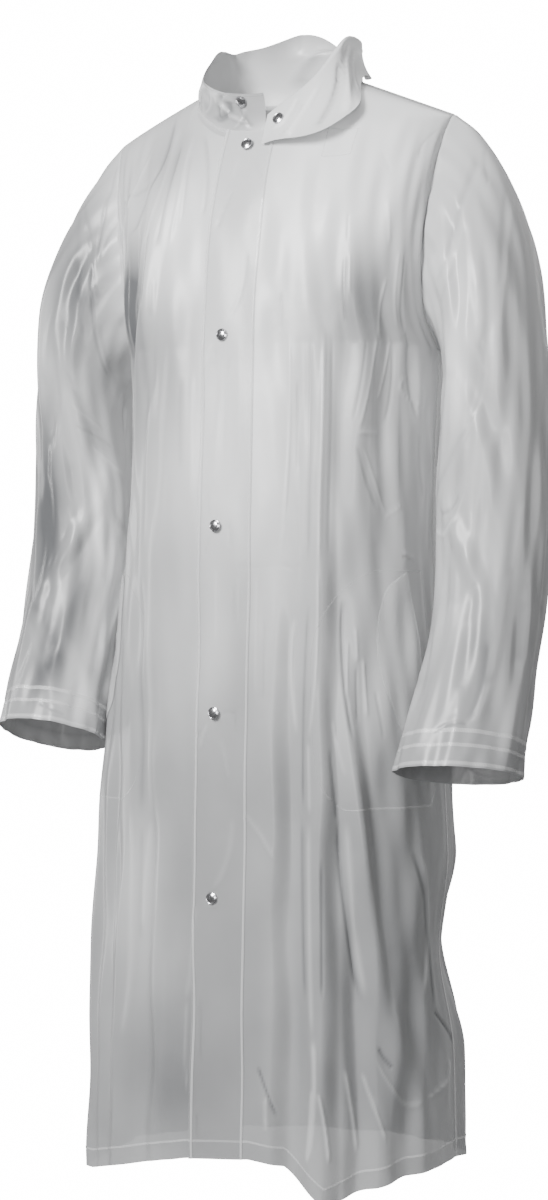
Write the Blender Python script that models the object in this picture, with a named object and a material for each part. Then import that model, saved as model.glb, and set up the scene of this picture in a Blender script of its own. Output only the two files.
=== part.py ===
"""A long see-through raincoat, standing as it is worn, built from the pieces that a maker cuts and welds.

Every cloth piece is a grid of points on the coat's outer skin, given a wall on its inner side. The body
pieces share one skin: a ring at each height from the section table, closed over the shoulders, with the
folds of the fold table added square to it. Bands, pockets and studs are made from the same grid points,
so they keep an even gap to the piece that they lie on. Metres, +Z up, the front faces -Y and the wearer's
left is +X. The origin is the middle of the neck opening, level with the neck points.
"""

from collections import namedtuple
from math import pi, radians

import bmesh
import bpy
import numpy as np
from mathutils import Vector

# Film and seams
WALL = 0.0016
BAND_WALL = 0.0011
SEAM_GAP = 0.0003
ARMHOLE_GAP = 0.00045
LYING_GAP = 0.0004
SEAM_Y = 0.012

# Heights
ARMPIT_Z = -0.300
HEM_BAND = 0.020
LAYER_ROWS = 21
YOKE_ROWS = 10

# Neck and shoulders
NECK_HALF = 0.087
SHOULDER_TIP = 0.205
SHOULDER_SLOPE = 0.41
FRONT_NECK_DROP = 0.062
BACK_NECK_DROP = 0.016
SKIN_POWER = 0.87

# Front closing
LAP = 0.030
PLACKET_EDGE = 0.034
LAP_SINK = 0.0044
SUNK_TO = 0.038
SINK_ENDS = 0.075
PLACKET_COLUMNS = 3
NECK_COLUMNS = 3
SIDE_COLUMNS = 13
BACK_NECK_COLUMNS = 8
BACK_SIDE_COLUMNS = 11

# Press studs: the cap, and below it the two halves that grip between the layers
STUD_RADIUS = 0.0065
STUD_SIDES = 14
CAP_HEIGHT = 0.0024
GRIP_RADIUS = 0.0045
GRIP_HEIGHT = 0.0017
StudPlace = namedtuple("StudPlace", "x z")
STUD_PLACES = (
    StudPlace(0.001, -0.079),
    StudPlace(-0.004, -0.289),
    StudPlace(-0.008, -0.493),
    StudPlace(-0.006, -0.692),
    StudPlace(-0.005, -0.888),
)
STUD_GAP = 0.0004
MERGE = 0.00001
CAP_PROFILE = (
    (0.0, 0.0),
    (STUD_RADIUS, 0.0),
    (STUD_RADIUS, CAP_HEIGHT * 0.3),
    (STUD_RADIUS * 0.86, CAP_HEIGHT * 0.66),
    (STUD_RADIUS * 0.52, CAP_HEIGHT * 0.94),
    (0.0, CAP_HEIGHT),
)
GRIP_PROFILE = ((0.0, 0.0), (GRIP_RADIUS, 0.0), (GRIP_RADIUS, GRIP_HEIGHT), (0.0, GRIP_HEIGHT))

FILM_COLOUR = (0.62, 0.64, 0.66)
BAND_COLOUR = (0.72, 0.74, 0.76)
PATCH_COLOUR = (0.52, 0.54, 0.56)
METAL_COLOUR = (0.66, 0.66, 0.68)

Section = namedtuple("Section", "z half_width front_depth back_depth")
SECTIONS = (
    Section(-1.215, 0.217, 0.166, 0.150),
    Section(-1.000, 0.212, 0.162, 0.142),
    Section(-0.800, 0.205, 0.157, 0.134),
    Section(-0.600, 0.197, 0.150, 0.126),
    Section(-0.420, 0.192, 0.144, 0.120),
    Section(-0.300, 0.190, 0.139, 0.116),
    Section(-0.150, 0.188, 0.136, 0.112),
    Section(0.020, 0.188, 0.134, 0.108),
)

# The armhole's edge: how far up it, its x, and how far the front and back edges stand apart there
Armhole = namedtuple("Armhole", "up x open")
ARMHOLE = (
    Armhole(0.00, 0.190, 0.00),
    Armhole(0.12, 0.188, 0.26),
    Armhole(0.30, 0.188, 0.38),
    Armhole(0.55, 0.191, 0.40),
    Armhole(0.80, 0.198, 0.38),
    Armhole(1.00, 0.205, 0.36),
)

# How the panels round over the shoulder: the drop within which they turn, and how squarely
Rounding = namedtuple("Rounding", "drop power")
FRONT_ROUNDING = Rounding(0.30, 2.0)
BACK_ROUNDING = Rounding(0.20, 3.0)

# The hem's height round the coat. Angles run from the front middle, 0, by the wearer's left side, 90
HemPoint = namedtuple("HemPoint", "angle z")
HEM = (
    HemPoint(-180, -1.190),
    HemPoint(-130, -1.196),
    HemPoint(-90, -1.204),
    HemPoint(-60, -1.206),
    HemPoint(-30, -1.184),
    HemPoint(-8, -1.166),
    HemPoint(8, -1.160),
    HemPoint(18, -1.166),
    HemPoint(30, -1.204),
    HemPoint(45, -1.188),
    HemPoint(60, -1.178),
    HemPoint(90, -1.172),
    HemPoint(130, -1.182),
    HemPoint(180, -1.190),
)

# Folds of the body: where each starts and ends, its half width as an angle, how far it stands out, and
# how much of it is left at its lower end
Fold = namedtuple("Fold", "top_angle top_z low_angle low_z half_angle depth left_over")
BODY_FOLDS = (
    Fold(30, -0.16, 29, -1.21, 7.0, 0.013, 1.0),
    Fold(21, -0.42, 20, -1.21, 6.5, -0.011, 1.0),
    Fold(36, -0.58, 50, -1.06, 6.5, 0.012, 0.2),
    Fold(50, -0.96, 66, -1.12, 9.0, 0.007, 0.0),
    Fold(42, -0.80, 42, -1.21, 6.5, -0.010, 1.0),
    Fold(64, -0.90, 60, -1.21, 8.0, -0.007, 1.0),
    Fold(108, -0.20, 108, -0.86, 58.0, -0.019, 0.65),
    Fold(114, -0.84, 114, -1.06, 60.0, -0.022, 0.0),
    Fold(-82, 0.15, -60, -0.78, 44.0, -0.023, 0.0),
    Fold(100, -0.98, 98, -1.21, 10.0, 0.006, 1.0),
    Fold(45, -0.18, 44, -0.56, 7.0, 0.007, 0.0),
    Fold(58, -0.22, 54, -0.60, 7.0, -0.007, 0.0),
    Fold(-24, -0.07, -42, -0.50, 6.5, 0.009, 0.0),
    Fold(-37, -0.08, -56, -0.44, 6.5, -0.009, 0.0),
    Fold(-50, -0.10, -68, -0.50, 6.5, 0.007, 0.0),
    Fold(-12, -0.80, -10, -1.21, 6.5, 0.007, 1.0),
    Fold(-24, -0.62, -24, -1.21, 6.5, -0.008, 1.0),
    Fold(-33, -0.72, -34, -1.21, 6.5, 0.010, 1.0),
    Fold(-47, -0.55, -48, -1.21, 7.0, -0.008, 1.0),
    Fold(-63, -0.60, -64, -1.21, 7.5, 0.010, 1.0),
    Fold(-104, -0.60, -106, -1.21, 8.0, 0.011, 1.0),
    Fold(-121, -0.45, -123, -1.21, 7.0, -0.010, 1.0),
    Fold(-138, -0.52, -140, -1.21, 7.5, 0.013, 1.0),
    Fold(-156, -0.16, -158, -1.21, 7.0, -0.009, 1.0),
    Fold(-172, -0.66, -174, -1.21, 7.5, 0.010, 1.0),
    Fold(119, -0.70, 118, -1.21, 7.5, -0.010, 1.0),
    Fold(134, -0.48, 133, -1.21, 7.5, 0.012, 1.0),
    Fold(151, -0.18, 150, -1.21, 7.0, -0.009, 1.0),
    Fold(168, -0.58, 169, -1.21, 7.5, 0.010, 1.0),
)

# A sleeve's sections: its outer line, its inner line and its half depth
SleeveRow = namedtuple("SleeveRow", "out_x out_y out_z in_x in_y in_z half_depth")
SLEEVE_ROWS = (
    SleeveRow(0.2290, 0.014, -0.0570, 0.1960, 0.014, -0.3020, 0.080),
    SleeveRow(0.2510, 0.016, -0.0800, 0.2000, 0.014, -0.3070, 0.084),
    SleeveRow(0.2710, 0.018, -0.1180, 0.2035, 0.014, -0.3160, 0.084),
    SleeveRow(0.2860, 0.020, -0.1680, 0.2055, 0.012, -0.3300, 0.082),
    SleeveRow(0.2970, 0.020, -0.2280, 0.2065, 0.010, -0.3500, 0.079),
    SleeveRow(0.3050, 0.018, -0.2920, 0.2070, 0.007, -0.3780, 0.075),
    SleeveRow(0.3110, 0.014, -0.3560, 0.2075, 0.004, -0.4160, 0.070),
    SleeveRow(0.3150, 0.008, -0.4200, 0.2080, 0.000, -0.4600, 0.065),
    SleeveRow(0.3165, 0.000, -0.4880, 0.2100, -0.008, -0.5080, 0.060),
    SleeveRow(0.3165, -0.010, -0.5560, 0.2120, -0.020, -0.5620, 0.057),
    SleeveRow(0.3155, -0.024, -0.6220, 0.2100, -0.044, -0.6180, 0.056),
    SleeveRow(0.3140, -0.038, -0.6780, 0.2020, -0.072, -0.6740, 0.056),
    SleeveRow(0.3130, -0.052, -0.7240, 0.1930, -0.096, -0.7180, 0.057),
    SleeveRow(0.3125, -0.060, -0.7570, 0.1870, -0.108, -0.7510, 0.058),
)
RINGS_JOINING = 5

# Each arm: which side it is on, how far its cuff is raised, growing from a share of its length on, and
# how far its inner line is shifted out and back, most of all at one row and over how many about it
Arm = namedtuple("Arm", "name side raised shift_out shift_back at_row rows")
ARMS = (
    Arm("left", 1, 0.0, -0.009, -0.006, 6, 4.5),
    Arm("right", -1, 0.030, 0.0, 0.020, 10, 4.0),
)
RAISED_FROM = 0.3

# Folds of a sleeve: angles run round it from the inner line, 0, by the front, 90
SleeveFold = namedtuple("SleeveFold", "top_angle top_row low_angle low_row half_angle depth left_over")
SLEEVE_FOLDS = (
    SleeveFold(120, 1, 60, 6, 16, -0.006, 0.0),
    SleeveFold(150, 2, 96, 9, 16, 0.005, 0.0),
    SleeveFold(176, 3, 200, 13, 18, 0.004, 0.0),
    SleeveFold(70, 5, 130, 9, 15, -0.006, 0.0),
    SleeveFold(40, 8, 110, 11, 16, 0.005, 0.0),
    SleeveFold(215, 2, 250, 9, 16, -0.006, 0.0),
    SleeveFold(290, 4, 260, 13, 18, 0.006, 0.0),
    SleeveFold(320, 3, 330, 10, 16, -0.005, 0.0),
)

# The collar, from the right end round the back to the left end: its height, how far it leans out, how
# far its top edge is drawn along it, the share of its height that stands below its roll line, and how
# far it turns over there
CollarRow = namedtuple("CollarRow", "share height lean_deg drawn stand over_deg")
COLLAR_ROWS = (
    CollarRow(0.00, 0.043, 20, 0.004, 0.50, 0),
    CollarRow(0.12, 0.043, 12, 0.000, 0.50, 0),
    CollarRow(0.27, 0.042, -14, 0.000, 0.55, 0),
    CollarRow(0.40, 0.064, -16, 0.000, 0.65, 0),
    CollarRow(0.48, 0.078, -18, 0.000, 0.72, 10),
    CollarRow(0.55, 0.090, -24, 0.000, 0.64, 130),
    CollarRow(0.62, 0.094, -26, 0.000, 0.57, 209),
    CollarRow(0.70, 0.099, -23, 0.000, 0.47, 200),
    CollarRow(0.78, 0.125, -16, 0.000, 0.34, 172),
    CollarRow(0.86, 0.108, -10, -0.001, 0.28, 164),
    CollarRow(0.93, 0.078, -4, -0.002, 0.28, 160),
    CollarRow(1.00, 0.051, 2, -0.003, 0.26, 156),
)
COLLAR_LEFT_X = 0.022
COLLAR_RIGHT_X = 0.016
COLLAR_LIFT = 0.0022
COLLAR_BEND = 1.6
COLLAR_FRONT_COLUMNS = 10
COLLAR_BACK_COLUMNS = 12
# How much of the height the roll takes, and the mesh rows below, across and past it
ROLL = 0.14
COLLAR_RISES = (2, 4, 3)
COLLAR_STEPS = 200

# The open studs: how far each is in from its end and up the collar, and how far off its curved face
CollarStud = namedtuple("CollarStud", "side from_end up")
COLLAR_STUDS = (CollarStud("left", 0.016, 0.59), CollarStud("right", 0.026, 0.78))
COLLAR_STUD_GAP = 0.0008

# The leaf-shaped flap over each slanted pocket mouth: its two long edges, from the top corner down
FlapRow = namedtuple("FlapRow", "z front_angle side_angle")
FLAP_ROWS = (
    FlapRow(-0.543, 64.5, 66.0),
    FlapRow(-0.556, 57.5, 67.5),
    FlapRow(-0.578, 53.0, 69.5),
    FlapRow(-0.604, 51.0, 71.5),
    FlapRow(-0.634, 51.5, 74.0),
    FlapRow(-0.664, 54.0, 76.5),
    FlapRow(-0.692, 58.0, 79.0),
    FlapRow(-0.716, 64.0, 81.0),
    FlapRow(-0.730, 72.0, 82.5),
)
FLAP_COLUMNS = 8

# The pocket bag welded inside: rounded at its top front and its bottom
BAG_ROWS = (
    FlapRow(-0.540, 50.0, 78.0),
    FlapRow(-0.552, 42.0, 79.0),
    FlapRow(-0.580, 32.0, 80.5),
    FlapRow(-0.620, 27.5, 82.0),
    FlapRow(-0.680, 27.0, 83.0),
    FlapRow(-0.740, 28.0, 83.0),
    FlapRow(-0.775, 31.0, 82.0),
    FlapRow(-0.792, 38.0, 78.0),
)
BAG_COLUMNS = 11
FLAP_GAP = 0.0006
BAG_GAP = 0.0027

# The bare patch inside the left front, below the collar
PATCH_ROWS = (
    FlapRow(-0.066, 24.8, 35.5),
    FlapRow(-0.082, 24.8, 35.5),
    FlapRow(-0.098, 24.8, 35.5),
)
PATCH_COLUMNS = 4
PATCH_STEPS = 2


def clear_scene():
    """Removes every object, so that the script gives the same result wherever it runs."""
    for obj in list(bpy.data.objects):
        bpy.data.objects.remove(obj)


def make_material(name, colour, roughness, metallic=0.0, alpha=1.0):
    material = bpy.data.materials.new(name)
    material.use_nodes = True
    shader = material.node_tree.nodes["Principled BSDF"]
    shader.inputs["Base Color"].default_value = (*colour, 1)
    shader.inputs["Roughness"].default_value = roughness
    shader.inputs["Metallic"].default_value = metallic
    shader.inputs["Alpha"].default_value = alpha
    return material


def ease(share):
    """0 to 1 with level ends."""
    share = np.clip(share, 0, 1)
    return share * share * (3 - 2 * share)


def smooth_through(at, knots, values):
    """A cubic through the knots, whose slope at each is that between its neighbours."""
    knots = np.asarray(knots, float)
    values = np.asarray(values, float)
    slopes = np.gradient(values, knots)
    at = np.clip(at, knots[0], knots[-1])
    i = np.clip(np.searchsorted(knots, at, side="right") - 1, 0, len(knots) - 2)
    span = knots[i + 1] - knots[i]
    t = (at - knots[i]) / span
    rise = values[i + 1] - values[i]
    bend = slopes[i] * span - rise
    turn = rise - slopes[i + 1] * span
    return values[i] + t * rise + t * (1 - t) * ((1 - t) * bend + t * turn)


def column(rows, name):
    return [getattr(row, name) for row in rows]


def bell(offset):
    """1 in the middle of a fold and 0 from its half width on, with level ends."""
    return ease(1 - np.abs(offset))


def fold_height(folds, angle, level):
    """Sum of the folds at an angle and a level. Each grows to its middle and fades to what is left over."""
    total = np.zeros(np.broadcast(angle, level).shape)
    for top_angle, top, low_angle, low, half_angle, depth, left_over in folds:
        share = (level - top) / (low - top)
        middle = top_angle + (low_angle - top_angle) * np.clip(share, 0, 1)
        away = (angle - middle + 180) % 360 - 180
        faded = 1 - (1 - left_over) * ease(2 * share - 1)
        total += depth * bell(away / half_angle) * ease(2 * share) * faded
    return total


def shoulder_height(x):
    return -SHOULDER_SLOPE * np.maximum(np.abs(x) - NECK_HALF, 0)


def top_height(x, neck_drop):
    """The upper edge of a body panel: the neckline's curve, then the shoulder seam."""
    inside = np.sqrt(np.clip(1 - (x / NECK_HALF) ** 2, 0, 1))
    return shoulder_height(x) - neck_drop * inside


def body_skin(facing, turn, up):
    """The coat's outer skin, before its folds, and its outward direction.

    facing is -1 on the front and 1 on the back, turn the angle from that face's middle to the wearer's
    left, and up runs from 0 at the hem by 1 at the armpit to 2 at the neckline and the shoulder seam.
    Each level is an oval whose depth shrinks to nothing at the shoulder, and which stands open at the side
    above the armpit.
    """
    yoke = np.clip(up - 1, 0, 1)
    angle = turn if facing < 0 else 180 - turn
    angle = (angle + 180) % 360 - 180
    across = np.sign(turn) * np.abs(np.sin(np.radians(turn))) ** SKIN_POWER
    round_off = np.clip(np.cos(np.radians(turn)), 0, 1) ** SKIN_POWER
    hem_z = np.interp(angle, column(HEM, "angle"), column(HEM, "z"))
    low_z = hem_z + (ARMPIT_Z - hem_z) * np.clip(up, 0, 1)
    edge_x = smooth_through(yoke, column(ARMHOLE, "up"), column(ARMHOLE, "x"))
    open_by = smooth_through(yoke, column(ARMHOLE, "up"), column(ARMHOLE, "open"))
    zs = column(SECTIONS, "z")
    half_width = np.where(up > 1, edge_x, smooth_through(low_z, zs, column(SECTIONS, "half_width")))
    x = half_width * across
    drop = FRONT_NECK_DROP if facing < 0 else BACK_NECK_DROP
    z = low_z + (top_height(x, drop) - ARMPIT_Z) * yoke
    depth_name = "front_depth" if facing < 0 else "back_depth"
    depth = smooth_through(z, zs, column(SECTIONS, depth_name))
    rounding = FRONT_ROUNDING if facing < 0 else BACK_ROUNDING
    below = np.clip((shoulder_height(x) - z) / rounding.drop, 0, 1)
    upright = np.sqrt(1 - (1 - below) ** rounding.power)
    side = open_by + (1 - open_by) * round_off
    y = SEAM_Y + facing * (SEAM_GAP / 2 + depth * upright * side)
    level_out = np.sqrt(1 - upright**2)
    sideways = np.sin(np.radians(turn))
    facing_out = facing * np.cos(np.radians(turn))
    outward = np.stack([sideways * upright, facing_out * upright, level_out], -1)
    return np.stack([x, y, z], -1), outward, angle, upright


def body_points(facing, turn, up, sink=0.0):
    """Points of the folded skin. sink draws the under lap in, square to the skin."""
    base, outward, angle, upright = body_skin(facing, turn, up)
    out = fold_height(BODY_FOLDS, angle, base[..., 2]) * upright - sink
    return base + outward * out[..., None]


def front_of_seam(points):
    points[..., 1] = np.minimum(points[..., 1], SEAM_Y - SEAM_GAP / 2)
    return points


def behind_seam(points):
    points[..., 1] = np.maximum(points[..., 1], SEAM_Y + SEAM_GAP / 2)
    return points


def turn_at(x, half_width):
    """The angle at which the skin is x across."""
    share = np.clip(np.abs(x) / half_width, 0, 1) ** (1 / SKIN_POWER)
    return np.sign(x) * np.degrees(np.arcsin(share))


def up_levels():
    """Rows from the hem to the top: the hem band, the layers below the armpit, and the yoke."""
    band = HEM_BAND / (ARMPIT_Z - min(column(HEM, "z")))
    layers = np.linspace(band, 1, LAYER_ROWS)
    yoke = np.linspace(1, 2, YOKE_ROWS + 1)[1:]
    return np.concatenate([[0], layers, yoke])


def side_turn(count):
    """Angles from the neck point's column to the side seam."""
    neck_turn = turn_at(NECK_HALF, SHOULDER_TIP)
    return np.linspace(neck_turn, 90, count + 1)


def front_grid(side):
    """Points of one front, from its lapping edge to its side seam, as rows from the hem up.

    The first columns keep their distance from the edge, so that the closing strip is parallel to it, and
    the others keep their share of the width.
    """
    up = up_levels()[:, None]
    zs = column(SECTIONS, "z")
    low_z = min(column(HEM, "z")) + (ARMPIT_Z - min(column(HEM, "z"))) * np.clip(up, 0, 1)
    edge_x = smooth_through(np.clip(up - 1, 0, 1), column(ARMHOLE, "up"), column(ARMHOLE, "x"))
    half_width = np.where(up > 1, edge_x, smooth_through(low_z, zs, column(SECTIONS, "half_width")))
    strip = np.linspace(-LAP, PLACKET_EDGE, PLACKET_COLUMNS + 1)[None, :]
    strip_turn = turn_at(np.broadcast_to(strip, (len(up), strip.size)), half_width)
    neck_turn = turn_at(NECK_HALF, SHOULDER_TIP)
    share = np.linspace(0, 1, NECK_COLUMNS + 1)[None, 1:-1]
    neck = strip_turn[:, -1:] + (neck_turn - strip_turn[:, -1:]) * share
    rest = np.broadcast_to(side_turn(SIDE_COLUMNS)[None, :], (len(up), SIDE_COLUMNS + 1))
    turn = np.concatenate([strip_turn, neck, rest], axis=1)
    sunk = 0.0
    if side < 0:
        own_x = half_width * np.sign(turn) * np.abs(np.sin(np.radians(turn))) ** SKIN_POWER
        sunk = LAP_SINK * (1 - ease((own_x - SUNK_TO) / (SINK_ENDS - SUNK_TO)))
    points = front_of_seam(body_points(-1, turn * side, up + 0 * turn, sunk))
    return points if side > 0 else points[:, ::-1]


def back_grid():
    up = up_levels()[:, None]
    sides = side_turn(BACK_SIDE_COLUMNS)
    middle = np.linspace(-sides[0], sides[0], BACK_NECK_COLUMNS + 1)[1:-1]
    turn = np.concatenate([sides[::-1], middle[::-1], -sides])[None, :]
    return behind_seam(body_points(1, turn + 0 * up, up + 0 * turn))


def grid_normals(points, closed):
    """Outward directions at the points of a grid whose columns run anticlockwise seen from above."""
    if closed:
        along = np.roll(points, -1, axis=1) - np.roll(points, 1, axis=1)
    else:
        along = np.gradient(points, axis=1)
    normals = np.cross(along, np.gradient(points, axis=0))
    return normals / np.linalg.norm(normals, axis=-1, keepdims=True)


def wall_mesh(name, outer, inner, closed, material):
    """A solid between two like grids, with rims on their free edges."""
    rows, columns = outer.shape[:2]
    count = rows * columns
    index = np.arange(count).reshape(rows, columns)
    if closed:
        index = np.concatenate([index, index[:, :1]], axis=1)
    a, b, c, d = index[:-1, :-1], index[:-1, 1:], index[1:, 1:], index[1:, :-1]
    skin = np.stack([a, b, c, d], -1).reshape(-1, 4)
    faces = [skin, skin[:, ::-1] + count]
    for edge, forward in ((index[0], True), (index[-1], False)):
        faces.append(rim(edge, count, forward))
    if not closed:
        for edge, forward in ((index[:, -1], True), (index[:, 0], False)):
            faces.append(rim(edge, count, forward))
    mesh = bpy.data.meshes.new(name)
    vertices = np.concatenate([outer.reshape(-1, 3), inner.reshape(-1, 3)])
    mesh.from_pydata(vertices.tolist(), [], np.concatenate(faces).tolist())
    mesh.materials.append(material)
    mesh.shade_smooth()
    mesh.set_sharp_from_angle(angle=radians(50))
    obj = bpy.data.objects.new(name, mesh)
    bpy.context.collection.objects.link(obj)
    return obj


def rim(edge, count, forward):
    """Faces that join an outer edge to the inner one behind it."""
    a, b = edge[:-1], edge[1:]
    faces = np.stack([b, a, a + count, b + count], -1)
    return faces if forward else faces[:, ::-1]


def cloth(name, outer, material, wall=WALL, closed=False, keep=None):
    """A cloth piece: its outer points and the same points moved in by its wall. keep holds a limit."""
    inner = outer - grid_normals(outer, closed) * wall
    if keep is not None:
        inner = keep(inner)
    return wall_mesh(name, outer, inner, closed, material)


def layer_on(name, points, normals, start, wall, material, closed=False):
    """A layer that lies on a piece: its points moved by start along the normals, with a wall below."""
    outer = points + normals * start
    inner = outer - normals * wall
    return wall_mesh(name, outer, inner, closed, material)


def build_body(film, band):
    """Both fronts, the back, the closing strip and the hem's turn-ups. Returns the grids."""
    grids = {"left": front_grid(1), "right": front_grid(-1), "back": back_grid()}
    cloth("front_left", grids["left"], film, keep=front_of_seam)
    cloth("front_right", grids["right"], film, keep=front_of_seam)
    cloth("back", grids["back"], film, keep=behind_seam)
    strip = slice(0, PLACKET_COLUMNS + 1)
    normals = grid_normals(grids["left"], False)
    lift = LYING_GAP + BAND_WALL
    layer_on("placket_left", grids["left"][1:, strip], normals[1:, strip], lift, BAND_WALL, band)
    for name, grid in grids.items():
        normals = grid_normals(grid, False)
        inset = slice(1, -1)
        points, outward = grid[:2, inset], normals[:2, inset]
        label = "hem_back" if name == "back" else f"hem_front_{name}"
        layer_on(label, points, outward, -WALL - LYING_GAP, BAND_WALL, band)
    return grids


def armhole_loop(grids, side):
    """The closed edge of an armhole: from the armpit up the front edge and down the back one."""
    front = grids["left"][:, -1] if side > 0 else grids["right"][:, 0]
    back = grids["back"][:, 0] if side > 0 else grids["back"][:, -1]
    front, back = front[-YOKE_ROWS - 1 :], back[-YOKE_ROWS - 1 :]
    loop = np.concatenate([front, back[-2:0:-1]])
    loop[0, 1] = SEAM_Y
    loop[YOKE_ROWS, 1] = SEAM_Y
    loop[:, 0] += side * ARMHOLE_GAP
    return loop


def sleeve_grid(loop, arm):
    """Rings of a sleeve, from the armhole down: ovals between its outer and inner lines.

    Each oval's depth is square to both its width and the sleeve's run. The first rings pass from the
    armhole's own shape to the ovals.
    """
    table = np.array(SLEEVE_ROWS)
    outer, inner = table[:, 0:3].copy(), table[:, 3:6].copy()
    share = ease((np.arange(len(table)) / (len(table) - 1) - RAISED_FROM) / (1 - RAISED_FROM))
    for line in (outer, inner):
        line[:, 2] += arm.raised * share
    near = ease(1 - np.abs(np.arange(len(table)) - arm.at_row) / arm.rows)
    inner[:, 0] += arm.shift_out * near
    inner[:, 1] += arm.shift_back * near
    middle = (outer + inner) / 2
    run = np.gradient(middle, axis=0)
    half = (outer - inner) / 2
    depth = np.cross(half, run)
    depth *= (table[:, 6] / np.linalg.norm(depth, axis=1))[:, None]
    depth *= np.where(depth[:, 1:2] > 0, -1, 1)
    angle = np.arange(2 * YOKE_ROWS) / YOKE_ROWS * pi
    cosine, sine = np.cos(angle)[None, :, None], np.sin(angle)[None, :, None]
    rings = middle[:, None] - half[:, None] * cosine + depth[:, None] * sine
    rings[..., 0] *= arm.side
    joined = ease((np.arange(len(table)) + 1) / RINGS_JOINING)[:, None, None]
    start = loop[None] + rings - rings[:1]
    rings = start + (rings - start) * joined
    rings = np.concatenate([loop[None], rings])
    folds = fold_height(SLEEVE_FOLDS, np.degrees(angle)[None, :], np.arange(len(rings))[:, None] + 0.0)
    outward = rings - rings.mean(axis=1, keepdims=True)
    outward /= np.linalg.norm(outward, axis=-1, keepdims=True)
    return rings + outward * folds[..., None]


def build_sleeves(grids, film, band):
    for arm in ARMS:
        rings = sleeve_grid(armhole_loop(grids, arm.side), arm)[::-1]
        if arm.side < 0:
            rings = rings[:, ::-1]
        cloth(f"sleeve_{arm.name}", rings, film, closed=True)
        normals = grid_normals(rings, True)
        layer_on(f"cuff_{arm.name}", rings[:2], normals[:2], -WALL - LYING_GAP, BAND_WALL, band, True)


def neck_points(facing, x, sink=0.0):
    turn = turn_at(x, SHOULDER_TIP)
    return body_points(facing, turn, np.full_like(turn, 2.0), sink)


def collar_rises(stand):
    """The shares of the height at a collar's mesh rows, set close across the roll."""
    ends = np.cumsum((0, *COLLAR_RISES))
    rows = np.arange(ends[-1] + 1)[:, None]
    knots = np.stack([0 * stand, stand - ROLL / 2, stand + ROLL / 2, 0 * stand + 1])
    part = np.clip(np.searchsorted(ends, rows[:, 0], side="right") - 1, 0, 2)
    share = (rows[:, 0] - ends[part]) / np.diff(ends)[part]
    return knots[part] * (1 - share[:, None]) + knots[part + 1] * share[:, None]


def collar_profile(rise, height, lean, stand, over):
    """How far out and up a collar point is: its height, carried along a line that leans and rolls over."""
    step = (np.arange(COLLAR_STEPS)[:, None] + 0.5) / COLLAR_STEPS
    slope = lean * (1 + COLLAR_BEND) * step**COLLAR_BEND + over * ease((step - stand) / ROLL + 0.5)
    out = np.concatenate([0 * slope[:1], np.cumsum(np.sin(slope), axis=0)]) * height / COLLAR_STEPS
    up = np.concatenate([0 * slope[:1], np.cumsum(np.cos(slope), axis=0)]) * height / COLLAR_STEPS
    columns = np.broadcast_to(np.arange(rise.shape[1]), rise.shape) + 0.0
    line = at_grid(np.stack([out, up], -1), rise * COLLAR_STEPS, columns)
    return line[..., 0], line[..., 1]


def collar_grid():
    """The collar's skin: the neckline lifted clear, carried along the profiles of its table."""
    swing = np.linspace(1, 0, COLLAR_FRONT_COLUMNS + 1)
    left_x = COLLAR_LEFT_X + (NECK_HALF - COLLAR_LEFT_X) * np.sin(swing * pi / 2)
    right_x = -COLLAR_RIGHT_X + (NECK_HALF + COLLAR_RIGHT_X) * np.sin(swing * pi / 2)
    back_x = NECK_HALF * np.cos(np.linspace(0, pi, COLLAR_BACK_COLUMNS + 1))[1:-1]
    left = neck_points(-1, left_x[::-1])
    right = neck_points(-1, -right_x, LAP_SINK * (1 - ease((right_x - SUNK_TO) / (SINK_ENDS - SUNK_TO))))
    base = np.concatenate([left, neck_points(1, back_x), right])
    base[:, 2] += COLLAR_LIFT
    base = base[::-1]
    along = np.gradient(base, axis=0)
    along[:, 2] = 0
    along /= np.linalg.norm(along, axis=1, keepdims=True)
    out = np.stack([-along[:, 1], along[:, 0], np.zeros(len(base))], -1)
    share = np.linspace(0, 1, len(base))
    shares = column(COLLAR_ROWS, "share")
    height = smooth_through(share, shares, column(COLLAR_ROWS, "height"))
    lean = np.radians(smooth_through(share, shares, column(COLLAR_ROWS, "lean_deg")))
    drawn = smooth_through(share, shares, column(COLLAR_ROWS, "drawn"))
    stand = smooth_through(share, shares, column(COLLAR_ROWS, "stand"))
    over = np.radians(smooth_through(share, shares, column(COLLAR_ROWS, "over_deg")))
    rise = collar_rises(stand)
    out_by, up_by = collar_profile(rise, height, lean, stand, over)
    points = base[None] + out[None] * out_by[..., None]
    points = points - along[None] * (drawn * rise**COLLAR_BEND)[..., None]
    points[..., 2] += up_by
    return points[:, ::-1], rise[:, ::-1]


def build_collar(film, metal):
    points, rise = collar_grid()
    cloth("collar", points, film)
    normals = grid_normals(points, False)
    lengths = np.linalg.norm(np.diff(points[0], axis=0), axis=1)
    from_left = np.concatenate([[0], np.cumsum(lengths)])
    for place in COLLAR_STUDS:
        end, distance = (0, place.from_end) if place.side == "left" else (-1, from_left[-1] - place.from_end)
        column_at = np.interp(distance, from_left, np.arange(len(from_left)))
        row = np.interp(place.up, rise[:, end], np.arange(len(rise)))
        rows, columns = np.array([row]), np.array([column_at])
        seat, outward = at_grid(points, rows, columns)[0], unit(at_grid(normals, rows, columns))[0]
        # past the roll the collar's other face is the one that shows
        if place.side == "left":
            outward = -outward
            seat = seat + outward * WALL
        stud(f"collar_stud_{place.side}", CAP_PROFILE, seat + outward * COLLAR_STUD_GAP, outward, metal)


def unit(vectors):
    return vectors / np.linalg.norm(vectors, axis=-1, keepdims=True)


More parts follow.
